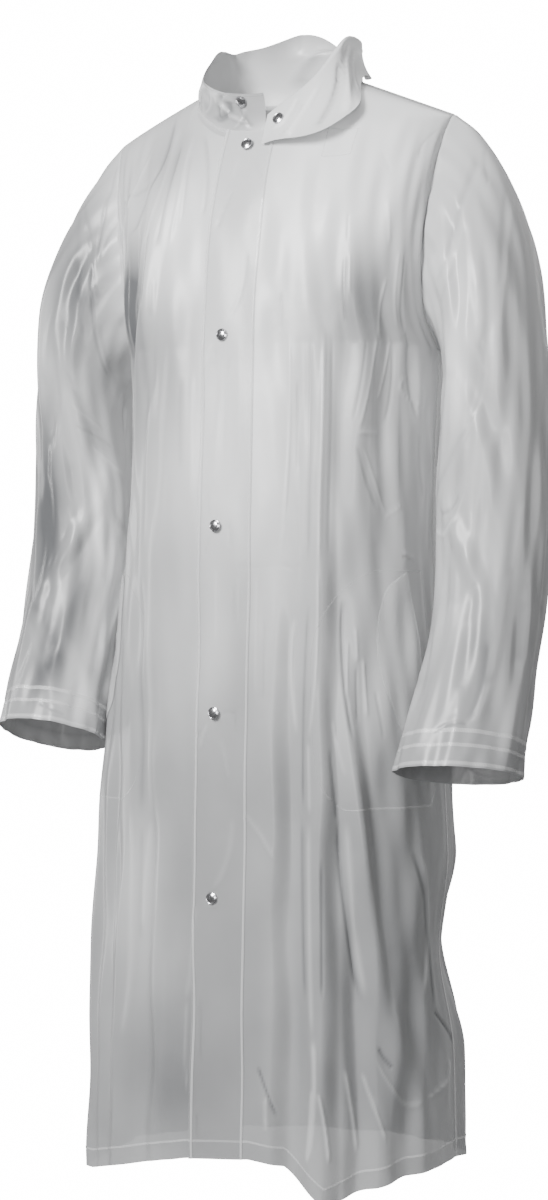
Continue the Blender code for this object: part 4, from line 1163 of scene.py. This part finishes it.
def film_material(name, opacity, whiter=0.0, roughness=0.36):
    """Milky film with painted light and shade: painted lighter towards the shoulders and in soft patches,
    ridges of creases painted lighter and troughs darker, over random clouding and a faint orange peel.
    """
    material, tree, shader, place = new_material(name)
    height = tree.node("SeparateXYZ")
    tree.links.new(place, height.inputs["Vector"])
    # Painted light: the film is lighter towards the shoulders and darker low down
    painted_light_by_height = tree.mapped(height.outputs["Z"], *PAINTED_LIGHT_BY_HEIGHT)
    cloud = tree.mapped(tree.noise(place, scale=7.0, detail=3.0), 0.30, 0.70, -0.05, 0.05)
    # Painted light and shade in patches, and the crease heights, which paint ridges lighter and troughs
    # darker
    tone = tree.attribute("tone")
    crease = tree.mapped(tree.attribute("crease"), -1.0, 1.0, -CREASE_PAINTED_SHADING, CREASE_PAINTED_SHADING)
    # Random clouding plus the painted light and shade set how far the colour goes from smoke to milk
    cloud_and_painted_shading = tree.added(tree.added(painted_light_by_height, cloud), tree.added(tone, crease))
    cloud_and_painted_shading = tree.mapped(cloud_and_painted_shading, 0.0, 1.0, whiter, 1.0)
    tree.links.new(tree.mixed(cloud_and_painted_shading, colours().smoke_and_painted_shade, colours().milk), shader.inputs["Base Color"])
    set_inputs(shader, Roughness=roughness, IOR=1.5, Coat_Weight=0.14, Coat_Roughness=0.28, Alpha=opacity)
    soft = tree.bumped(tree.noise(place, scale=42.0), distance=0.0012, strength=0.35)
    peel = tree.noise(place, scale=900.0, detail=1.0)
    peel = tree.bumped(peel, distance=0.0001, strength=0.25, before=soft)
    tree.links.new(peel, shader.inputs["Normal"])
    return material


def weld_material(name, opacity):
    """A weld: film pressed to a fine row of bars across its length, read from its UV map."""
    material, tree, shader, _ = new_material(name)
    bars = tree.node("TexWave", Scale=190.0, Distortion=0.0)
    bars.bands_direction = "X"
    tree.links.new(tree.node("TexCoord").outputs["UV"], bars.inputs["Vector"])
    shade = tree.mixed(bars.outputs["Fac"], dimmed(colours().milk, 0.80), colours().milk)
    tree.links.new(shade, shader.inputs["Base Color"])
    set_inputs(shader, Roughness=0.22, Coat_Weight=0.5, Coat_Roughness=0.10, Alpha=opacity)
    pressed = tree.bumped(bars.outputs["Fac"], distance=0.0002, strength=0.5)
    tree.links.new(pressed, shader.inputs["Normal"])
    return material


def metal_material(name):
    """Polished stud metal with a faint turned grain and tiny scuffs."""
    material, tree, shader, place = new_material(name)
    metal = colours().metal
    scuff = tree.noise(place, scale=700.0, detail=3.0)
    shade = tree.mixed(tree.mapped(scuff, 0.4, 0.7, 0.0, 1.0), dimmed(metal, 0.75), metal)
    tree.links.new(shade, shader.inputs["Base Color"])
    tree.links.new(tree.mapped(scuff, 0.3, 0.7, 0.14, 0.30), shader.inputs["Roughness"])
    set_inputs(shader, Metallic=1.0)
    grain = tree.noise(place, scale=1500.0, detail=1.0)
    tree.links.new(tree.bumped(grain, distance=0.00004, strength=0.3), shader.inputs["Normal"])
    return material


MADE = {}


def material(kind):
    """The coat's materials, each made once."""
    if kind not in MADE:
        opacity = colours().opacity
        makers = {
            "film": lambda: film_material("milky_film", opacity),
            "collar": lambda: film_material("collar_film", min(1.0, opacity + 0.04), whiter=0.05),
            "band": lambda: film_material("doubled_film", 0.40, whiter=0.10, roughness=0.30),
            "closing": lambda: film_material("closing_film", 0.24, whiter=0.30, roughness=0.32),
            "pocket": lambda: film_material("pocket_film", 0.45, whiter=0.80, roughness=0.34),
            "patch": lambda: film_material("patch_film", 0.55, whiter=-0.4, roughness=0.45),
            "weld": lambda: weld_material("weld_line", 0.46),
            "faint_weld": lambda: weld_material("weld_print", 0.20),
            "metal": lambda: metal_material("stud_metal"),
        }
        MADE[kind] = makers[kind]()
    return MADE[kind]


def dressed(node, name, points, kind, closed=False, looks=None):
    """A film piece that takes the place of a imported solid."""
    piece = sheet_object(name, points, material(kind), closed, looks)
    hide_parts(node)
    return piece


def weld_piece(name, points, closed=False, kind="weld"):
    """A weld line, a narrow sheet just outside the film that it joins."""
    weld = sheet_object(name, points, material(kind), closed)
    return weld


def front_at(side, turn, z):
    """Points of a front at turns and heights: the height is turned into how far up the panel it is."""
    hem_z = hem_height(turn * side)
    top = top_height(across(half_width_at(np.ones_like(z), z), turn), FRONT_NECK_DROP)
    up = np.where(z < ARMPIT_Z, (z - hem_z) / (ARMPIT_Z - hem_z), 1 + (z - ARMPIT_Z) / (top - ARMPIT_Z))
    return front_points(side, turn, up)


class RAINCOAT_OT_fronts(bpy.types.Operator):
    """Both fronts: the left one laps over the right one, which is drawn in below it"""

    bl_idname = "raincoat.fronts"
    bl_label = "Fronts"

    def execute(self, context):
        for name, side in SIDES:
            front = f"front_{name}"
            points, looks = front_grid(side), front_grid(side, True)
            film = dressed(front, f"film_{front}", points, "film", looks=looks)
        return {"FINISHED"}


class RAINCOAT_OT_back(bpy.types.Operator):
    """The back, in one piece from side seam to side seam"""

    bl_idname = "raincoat.back"
    bl_label = "Back"

    def execute(self, context):
        film = dressed("back", "film_back", back_grid(), "film", looks=back_grid(True))
        return {"FINISHED"}


def armhole_loop(angle, side):
    """The armhole's edge at ring angles: up the front edge to the shoulder, then down the back one."""
    front = angle <= pi
    up = 1 + np.where(front, angle, 2 * pi - angle) / pi
    ahead = body_points(-1, np.full_like(up, 90.0 * side), up)
    behind = body_points(1, np.full_like(up, 90.0 * side), up)
    return np.where(front[:, None], ahead, behind)


def smooth_points(at, knots, points):
    """smooth_through() for each of the three measures of a line of points."""
    return np.stack([smooth_through(at, knots, points[:, k]) for k in range(3)], -1)


def sleeve_fine(creases, angle, row):
    """A sleeve's finer creases, those that run down it and those that run across."""
    return crease_height(creases[0], angle, row, 0) + across_height(creases[1], angle, row)


def sleeve_grid(arm, rows, angle, looks=False):
    """Rings of a sleeve at row numbers and angles: ovals between its outer and inner lines.

    A ring point is the middle line, less half the width times cos, plus the half depth times sin. The first
    rings pass from the armhole's own shape to the ovals. Folds and creases move a point out from its ring.
    """
    table = np.array(SLEEVE_ROWS)
    knots = np.arange(len(table))
    outer, inner = table[:, 0:3].copy(), table[:, 3:6].copy()
    share = ease((knots / (len(table) - 1) - RAISED_FROM) / (1 - RAISED_FROM))
    outer[:, 2] += arm.raised * share
    inner[:, 2] += arm.raised * share
    near = ease(1 - np.abs(knots - arm.at_row) / arm.rows)
    inner[:, 0] += arm.shift_out * near
    inner[:, 1] += arm.shift_back * near
    middle, half = (outer + inner) / 2, (outer - inner) / 2
    depth = np.cross(half, np.gradient(middle, axis=0))
    depth *= (table[:, 6] / np.linalg.norm(depth, axis=1))[:, None]
    depth *= np.where(depth[:, 1:2] > 0, -1, 1)
    at = np.clip(rows - 1, 0, None)
    middle, half, depth = (smooth_points(at, knots, line) for line in (middle, half, depth))
    cosine, sine = np.cos(angle)[None, :, None], np.sin(angle)[None, :, None]
    rings = middle[:, None] - half[:, None] * cosine + depth[:, None] * sine
    first = middle[:1, None] - half[:1, None] * cosine + depth[:1, None] * sine
    rings[..., 0] *= arm.side
    first[..., 0] *= arm.side
    joined = ease(rows / RINGS_JOINING)[:, None, None]
    start = armhole_loop(angle, arm.side)[None] + rings - first
    rings = start + (rings - start) * joined
    degrees, level = np.degrees(angle)[None, :], rows[:, None]
    near, far = ((LEFT_CREASES, LEFT_ACROSS), (RIGHT_CREASES, RIGHT_ACROSS))[:: arm.side]
    fine = sleeve_fine(near, degrees, level) + sleeve_fine(far, degrees - arm.far_turn, level)
    fine *= sizes().crease
    # The looks are the sleeve's painted light and shade: its painted patches and its crease heights
    if looks:
        return np.stack([painted_shading_at(arm.tones, degrees, level), fine / CREASE_HIGH], -1)
    ripples = ripple_height(degrees * SLEEVE_DEGREE, level * METRES_PER_ROW + arm.side)
    fine = (fine + ripples) * ease(rows / ARMHOLE_FADE)[:, None]
    out = fold_height(SLEEVE_FOLDS, degrees, level) + fine
    outward = rings - rings.mean(axis=1, keepdims=True)
    return rings + unit(outward) * out[..., None]


def ring_angles():
    """The angles of a ring's points, evenly round it."""
    return np.arange(RING_POINTS) / RING_POINTS * 2 * pi


def sleeve_rings(arm, first, last, count, looks=False):
    """Rings between two row numbers, ordered so that their faces point outwards."""
    rings = sleeve_grid(arm, np.linspace(first, last, count), ring_angles(), looks)
    return rings[::-1, :: arm.side]


class RAINCOAT_OT_sleeves(bpy.types.Operator):
    """Both sleeves with their turned-up cuffs and weld lines"""

    bl_idname = "raincoat.sleeves"
    bl_label = "Sleeves"

    def execute(self, context):
        band = sizes().cuff_band
        for arm in ARMS:
            name = arm.name
            sleeve = f"sleeve_{name}"
            rings, looks = (sleeve_rings(arm, 0, LAST_RING, RING_ROWS, shown) for shown in (False, True))
            film = dressed(sleeve, f"film_{sleeve}", rings, "film", True, looks)
            inside = moved_out(sleeve_rings(arm, LAST_RING - band, LAST_RING, CUFF_ROWS), -TURN_UP_IN, True)
            cuff = dressed(f"cuff_{name}", f"cuff_turn_up_{name}", inside, "band", True)
            for number, below in enumerate((band, CUFF_MIDDLE_WELD * band, CUFF_EDGE_WELD)):
                row = LAST_RING - below
                rings = sleeve_rings(arm, row - CUFF_WELD_HALF, row + CUFF_WELD_HALF, 3)
                weld_piece(f"cuff_weld_{name}_{number}", moved_out(rings, WELD_OUT, True), True)
        return {"FINISHED"}


def neck_line(facing, x, down=0.0, sink=0.0):
    """Points of the neckline at places across, or a share of the yoke down from it."""
    turn = turn_at(x, SHOULDER_TIP)
    return body_points(facing, turn, np.full_like(turn, 2.0 - down), sink)


def collar_lines(down):
    """The neckline from the right end round the back to the left end, a share of the yoke down a panel."""
    swing = np.linspace(1, 0, COLLAR_FRONT_COLUMNS)
    left_x = COLLAR_LEFT_X + (NECK_HALF - COLLAR_LEFT_X) * np.sin(swing * pi / 2)
    right_x = -COLLAR_RIGHT_X + (NECK_HALF + COLLAR_RIGHT_X) * np.sin(swing * pi / 2)
    back_x = NECK_HALF * np.cos(np.linspace(0, pi, COLLAR_BACK_COLUMNS))[1:-1]
    sunk = LAP_SINK * (1 - ease((right_x - SUNK_TO) / (SINK_ENDS - SUNK_TO)))
    left = neck_line(-1, left_x[::-1], down)
    right = neck_line(-1, -right_x, down, sunk)
    return np.concatenate([left, neck_line(1, back_x, down), right])[::-1]


def collar_rises(stand):
    """The shares of the height at a collar's mesh rows, set close across the roll."""
    ends = np.cumsum((0, *COLLAR_RISES))
    rows = np.arange(ends[-1] + 1)
    knots = np.stack([0 * stand, stand - ROLL / 2, stand + ROLL / 2, 0 * stand + 1])
    part = np.clip(np.searchsorted(ends, rows, side="right") - 1, 0, 2)
    share = ((rows - ends[part]) / np.diff(ends)[part])[:, None]
    return knots[part] * (1 - share) + knots[part + 1] * share


def collar_profile(rise, height, lean, stand, over):
    """How far out and up a collar point is.

    The slope of the line from the seam is the lean times a power of the rise, plus the turn at the roll
    line, eased over the roll. Its sine and cosine are summed along the height and read off at each rise.
    """
    step = (np.arange(COLLAR_STEPS)[:, None] + 0.5) / COLLAR_STEPS
    slope = lean * (1 + COLLAR_BEND) * step**COLLAR_BEND + over * ease((step - stand) / ROLL + 0.5)
    sums = np.cumsum(np.stack([np.sin(slope), np.cos(slope)]), axis=1) * height / COLLAR_STEPS
    sums = np.concatenate([0 * sums[:, :1], sums], axis=1)
    low = np.clip((rise * COLLAR_STEPS).astype(int), 0, COLLAR_STEPS - 1)
    part = rise * COLLAR_STEPS - low
    return [
        np.take_along_axis(line, low, 0) * (1 - part) + np.take_along_axis(line, low + 1, 0) * part
        for line in sums
    ]


def collar_grid(looks=False):
    """The collar: the neckline carried along the profiles of its table, with waves and creases across it."""
    base = collar_lines(0.0)
    base[:, 2] += COLLAR_LIFT
    along = np.gradient(base, axis=0)
    along[:, 2] = 0
    along = unit(along)
    out = np.stack([-along[:, 1], along[:, 0], np.zeros(len(base))], -1)
    share = np.linspace(0, 1, len(base))
    height, lean, drawn, stand, over = (
        read_off(COLLAR_ROWS, "share", name, share) for name in CollarRow._fields[1:]
    )
    rise = collar_rises(stand)
    out_by, up_by = collar_profile(rise, height, np.radians(lean), stand, np.radians(over))
    wave = sum(wave.height * np.sin(share * wave.along + rise * wave.up) * rise for wave in COLLAR_WAVES)
    fine = crease_height(COLLAR_CREASES, share * 100, rise, 0) * sizes().crease
    # The looks are the collar's painted light and shade: its painted patches and its crease heights
    if looks:
        seen = np.stack([painted_shading_at(COLLAR_PAINTED_SHADING, share * 100, rise), fine / CREASE_HIGH], -1)
        return np.concatenate([seen[:1], seen[:1], seen])[:, ::-1]
    out_by = out_by + wave + fine
    points = base[None] + out[None] * out_by[..., None] - along[None] * (drawn * rise**COLLAR_BEND)[..., None]
    points[..., 2] += up_by
    seam = collar_lines(FOOT_DOWN) + out * FOOT_OUT
    seam[:, 2] += FOOT_UP
    halfway = seam * 0.5 + (base + out * FOOT_TOP_OUT) * 0.5
    points = np.concatenate([seam[None], halfway[None], points])
    return points[:, ::-1]


class RAINCOAT_OT_collar(bpy.types.Operator):
    """The stand collar, its left end folded out, with its base and top welds"""

    bl_idname = "raincoat.collar"
    bl_label = "Collar"

    def execute(self, context):
        points = collar_grid()
        film = dressed("collar", "film_collar", points, "collar", looks=collar_grid(True))
        top = weld_piece("collar_top_weld", moved_out(points, WELD_OUT)[-4:-2])
        base = weld_piece("collar_base_weld", moved_out(points, RING_WELD_OUT)[1:4])
        return {"FINISHED"}


class RAINCOAT_OT_closing_strip(bpy.types.Operator):
    """The doubled edge of the left front, with a weld line along each of its sides"""

    bl_idname = "raincoat.closing_strip"
    bl_label = "Closing Strip"

    def execute(self, context):
        up = up_levels()[:, None]
        width = level_width(up)

        def lines(first, last, count, out):
            """Upright lines of the left front's points between two places across, moved out."""
            x = np.linspace(first, last, count)[None, :]
            return moved_out(front_points(1, turn_at(x, width), up), out)

        points = lines(-LAP, PLACKET_EDGE, STRIP_COLUMNS, STRIP_OUT)
        strip = dressed("placket_left", "closing_strip", points, "closing")
        half = sizes().weld / 2
        welds = [
            weld_piece(f"closing_weld_{name}", lines(x - half, x + half, 3, STRIP_WELD_OUT))
            for name, x in CLOSING_WELDS
        ]
        return {"FINISHED"}


class RAINCOAT_OT_hem(bpy.types.Operator):
    """The turn-ups inside the hem of fronts and back, with their weld lines"""

    bl_idname = "raincoat.hem"
    bl_label = "Hem"

    def execute(self, context):
        rise = sizes().hem_band / (ARMPIT_Z - LOWEST_HEM)
        half = sizes().weld / 2 / (ARMPIT_Z - LOWEST_HEM)

        def rows(which, first, last, count, out):
            """Rows of a panel's points between two heights up it, moved out."""
            up = np.linspace(first, last, count)[:, None]
            if which == "back":
                return moved_out(body_points(1, back_turns()[None, :], up), out)
            side = 1 if which == "front_left" else -1
            return moved_out(front_points(side, front_turns(up), up)[:, ::side], out)

        for which, width in (("front_left", 0.37), ("front_right", 0.37), ("back", 0.62)):
            points = rows(which, 0, rise, HEM_ROWS, -TURN_UP_IN)
            band = dressed(f"hem_{which}", f"hem_turn_up_{which}", points, "band")
            weld = weld_piece(f"hem_weld_{which}", rows(which, rise - half, rise + half, 3, WELD_OUT))
        return {"FINISHED"}


def patch_points(rows, side, across, along, out):
    """Points of a pocket piece: between the two edges of its table, smoothly from its lowest row up."""
    knots = np.arange(len(rows))
    place = np.linspace(knots[-1], 0, along)
    z, first, last = (smooth_through(place, knots, column(rows, name)) for name in PocketRow._fields)
    share = np.linspace(0, 1, across)[None, :]
    turn = first[:, None] + (last - first)[:, None] * share
    points = front_at(side, turn, np.broadcast_to(z[:, None], turn.shape))
    return moved_out(points[:, ::side], out)


def border(points, inset):
    """A closed ring of points round a grid and the same ring drawn in, for a weld along its edge."""
    ring = np.concatenate([points[0, :-1], points[:-1, -1], points[-1, :0:-1], points[:0:-1, 0]])
    return np.stack([ring + unit(ring.mean(axis=0) - ring) * inset, ring])


# The flap lies outside the front and the bag inside it: columns, rows, how far out, the weld, and the cut
PocketPiece = namedtuple("PocketPiece", "name rows across along out weld_out weld flat area")
POCKET_PIECES = rows_of(
    PocketPiece,
    ("flap", FLAP_ROWS, 30, 60, 0.0012, 0.0003, "weld", (0.075, 0.19), 0.0095),
    ("bag", BAG_ROWS, 50, 70, -0.0022, 0.0026, "faint_weld", (0.17, 0.26), 0.036),
)


class RAINCOAT_OT_pockets(bpy.types.Operator):
    """The slanted pockets: a leaf-shaped flap outside and a bag inside, each welded round its edge"""

    bl_idname = "raincoat.pockets"
    bl_label = "Pockets"

    def execute(self, context):
        for name, side in SIDES:
            made = []
            for kind in POCKET_PIECES:
                points = patch_points(kind.rows, side, kind.across, kind.along, kind.out)
                node, film = f"pocket_{kind.name}_{name}", f"pocket_{kind.name}_film_{name}"
                made.append((kind, points, dressed(node, film, points, "pocket")))
            for kind, points, film in made:
                ring = border(moved_out(points, kind.weld_out), sizes().weld)
                weld = weld_piece(f"{film.name}_weld", ring, True, kind.weld)
        return {"FINISHED"}


class RAINCOAT_OT_neck_patch(bpy.types.Operator):
    """The small bare patch inside the left front, below the collar"""

    bl_idname = "raincoat.neck_patch"
    bl_label = "Neck Patch"

    def execute(self, context):
        points = patch_points(PATCH_ROWS, side=1, across=12, along=12, out=-PATCH_IN)
        patch = dressed("neck_patch", "neck_patch_film", points, "patch")
        ring = border(moved_out(points, PATCH_WELD_OUT), sizes().weld * PATCH_WELD_SHARE)
        weld = weld_piece("neck_patch_weld", ring, True, "faint_weld")
        return {"FINISHED"}


def seam_lines(turn, up, turn_off, up_off):
    """A seam's three lines: a little onto the front, along the seam, and a little onto the back."""
    beside = turn - turn_off, up - up_off
    return [body_points(-1, *beside), body_points(-1, turn, up), body_points(1, *beside)]


class RAINCOAT_OT_seams(bpy.types.Operator):
    """The weld lines of the side seams, the shoulders and the armholes"""

    bl_idname = "raincoat.seams"
    bl_label = "Seams"

    def execute(self, context):
        up = up_levels()
        low = up[up <= 1]
        half = sizes().weld / 2 / METRES_PER_DEGREE
        for arm in ARMS:
            side = arm.side
            edges = seam_lines(np.full_like(low, 90.0 * side), low, half * side, 0)[::side]
            weld_piece(f"side_weld_{arm.name}", moved_out(np.stack(edges, axis=1), SEAM_WELD_OUT))
            turn = np.linspace(NECK_TURN, 90, FRONT_SIDE_COLUMNS + 1) * side
            top = seam_lines(turn, np.full_like(turn, 2.0), 0, SHOULDER_WELD_DOWN)[::-side]
            weld_piece(f"shoulder_weld_{arm.name}", moved_out(np.stack(top, axis=1), SEAM_WELD_OUT))
            ring = moved_out(sleeve_rings(arm, 0.0, ARMHOLE_WELD_ROWS, 4), RING_WELD_OUT, True)
            weld_piece(f"armhole_weld_{arm.name}", ring, True)
        return {"FINISHED"}


class RAINCOAT_OT_studs(bpy.types.Operator):
    """The press studs: five closed down the front, two open on the collar's ends"""

    bl_idname = "raincoat.studs"
    bl_label = "Press Studs"

    def execute(self, context):
        metal = material("metal")
        profile = np.array(CAP_PROFILE) * (sizes().stud_radius, 1)
        for number in STUD_NUMBERS:
            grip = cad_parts[f"stud_grip_{number}"].data
            grip.materials.clear()
            grip.materials.append(metal)
        caps = [f"stud_cap_{number}" for number in STUD_NUMBERS]
        for name in (*caps, "collar_stud_left", "collar_stud_right"):
            cap = turned_object(f"{name}_dome", profile, *seat_of(name), metal)
            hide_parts(name)
        return {"FINISHED"}


def seat_of(node):
    """Where a packed stud is seated and the way it faces: its flat base's middle, towards its dome."""
    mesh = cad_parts[node].data
    points = np.array([vertex.co for vertex in mesh.vertices])
    middle = points.mean(axis=0)
    areas, normals, centres = (
        np.array([getattr(face, name) for face in mesh.polygons]) for name in ("area", "normal", "center")
    )
    _, _, ways = np.linalg.svd(points - middle)
    axis = ways[-1]
    flat = np.abs(normals @ axis) > FLAT_FROM
    base = centres[flat][np.argmax(areas[flat])]
    axis = axis * (1 if (middle - base) @ axis > 0 else -1)
    return middle + axis * ((base - middle) @ axis), axis


class RAINCOAT_OT_stage(bpy.types.Operator):
    """A pale floor, soft studio lights and the camera"""

    bl_idname = "raincoat.stage"
    bl_label = "Stage"

    def execute(self, context):
        self.add_floor()
        self.light_world(context.scene)
        for lamp in LAMPS:
            light = bpy.data.lights.new(lamp.name, "AREA")
            light.shape = "RECTANGLE"
            light.size, light.size_y, light.energy = lamp.width, lamp.height, lamp.power
            obj = placed_object(lamp.name, light)
            obj.location = lamp.place
            obj.rotation_euler = (Vector(lamp.aim) - Vector(lamp.place)).to_track_quat("-Z", "Y").to_euler()
            obj.visible_glossy = lamp.name != "back_softbox"
        self.place_camera(context.scene)
        return {"FINISHED"}

    def add_floor(self):
        """A round pale floor below the coat."""
        angle = np.linspace(0, 2 * pi, FLOOR_SIDES, endpoint=False)
        rim = [FLOOR_RADIUS * np.cos(angle), FLOOR_RADIUS * np.sin(angle), np.full(FLOOR_SIDES, FLOOR_Z)]
        floor = bpy.data.meshes.new("floor")
        floor.from_pydata(np.stack(rim, -1).tolist(), [], [list(range(FLOOR_SIDES))])
        placed_object("floor", floor)
        pale, _, shader, _ = new_material("pale_floor")
        set_inputs(shader, Base_Color=(0.86, 0.86, 0.86, 1), Roughness=0.7)
        floor.materials.append(pale)

    def light_world(self, scene):
        """A white sky, dim as a light, bright where the camera sees it bare and less so through film."""
        scene.world = bpy.data.worlds.new("studio")
        scene.world.use_nodes = True
        tree = Shading(scene.world.node_tree)
        back = set_inputs(tree.nodes["Background"], Color=(1.0, 1.0, 1.0, 1), Strength=0.20)
        seen = tree.node("Background", Color=(1.0, 1.0, 1.0, 1))
        path = tree.node("LightPath")
        past = tree.mapped(path.outputs["Transparent Depth"], 0.0, 1.0, 16.0, 1.2)
        blend = tree.node("MixShader")
        for source, socket in (
            (past, seen.inputs["Strength"]),
            (path.outputs["Is Camera Ray"], blend.inputs["Fac"]),
            (back.outputs["Background"], blend.inputs[1]),
            (seen.outputs["Background"], blend.inputs[2]),
            (blend.outputs["Shader"], tree.nodes["World Output"].inputs["Surface"]),
        ):
            tree.links.new(source, socket)

    def place_camera(self, scene):
        """A level camera, turned about the upright axis that it looks at."""
        lens = bpy.data.cameras.new("camera")
        lens.lens, lens.sensor_width, lens.shift_x, lens.clip_start = LENS, 36.0, LENS_SHIFT, 0.05
        camera = placed_object("camera", lens)
        camera.location = (CAMERA_AWAY * sin(CAMERA_TURN), -CAMERA_AWAY * cos(CAMERA_TURN), CAMERA_Z)
        camera.rotation_euler = (pi / 2, 0, CAMERA_TURN)
        scene.camera = camera


OPERATORS = (
    RAINCOAT_OT_fronts,
    RAINCOAT_OT_back,
    RAINCOAT_OT_sleeves,
    RAINCOAT_OT_collar,
    RAINCOAT_OT_closing_strip,
    RAINCOAT_OT_hem,
    RAINCOAT_OT_pockets,
    RAINCOAT_OT_neck_patch,
    RAINCOAT_OT_seams,
    RAINCOAT_OT_studs,
    RAINCOAT_OT_stage,
)


class RAINCOAT_PT_panel(bpy.types.Panel):
    """Lists the coat's sizes, colours and pieces"""

    bl_idname = "RAINCOAT_PT_panel"
    bl_label = "Raincoat"
    bl_space_type = "VIEW_3D"
    bl_region_type = "UI"
    bl_category = "Raincoat"

    def draw(self, context):
        for group in (context.scene.raincoat_sizes, context.scene.raincoat_colours):
            box = self.layout.box()
            for name in group.__annotations__:
                box.prop(group, name)
        for operator in OPERATORS:
            self.layout.operator(operator.bl_idname)


CLASSES = (RaincoatSizes, RaincoatColours, *OPERATORS, RAINCOAT_PT_panel)


def register():
    for cls in CLASSES:
        bpy.utils.register_class(cls)
    bpy.types.Scene.raincoat_sizes = PointerProperty(type=RaincoatSizes)
    bpy.types.Scene.raincoat_colours = PointerProperty(type=RaincoatColours)


def unregister():
    del bpy.types.Scene.raincoat_colours
    del bpy.types.Scene.raincoat_sizes
    for cls in reversed(CLASSES):
        bpy.utils.unregister_class(cls)


def main():
    """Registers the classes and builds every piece."""
    register()
    for operator in OPERATORS:
        group, name = operator.bl_idname.split(".")
        getattr(getattr(bpy.ops, group), name)()


if __name__ == "__main__":
    main()
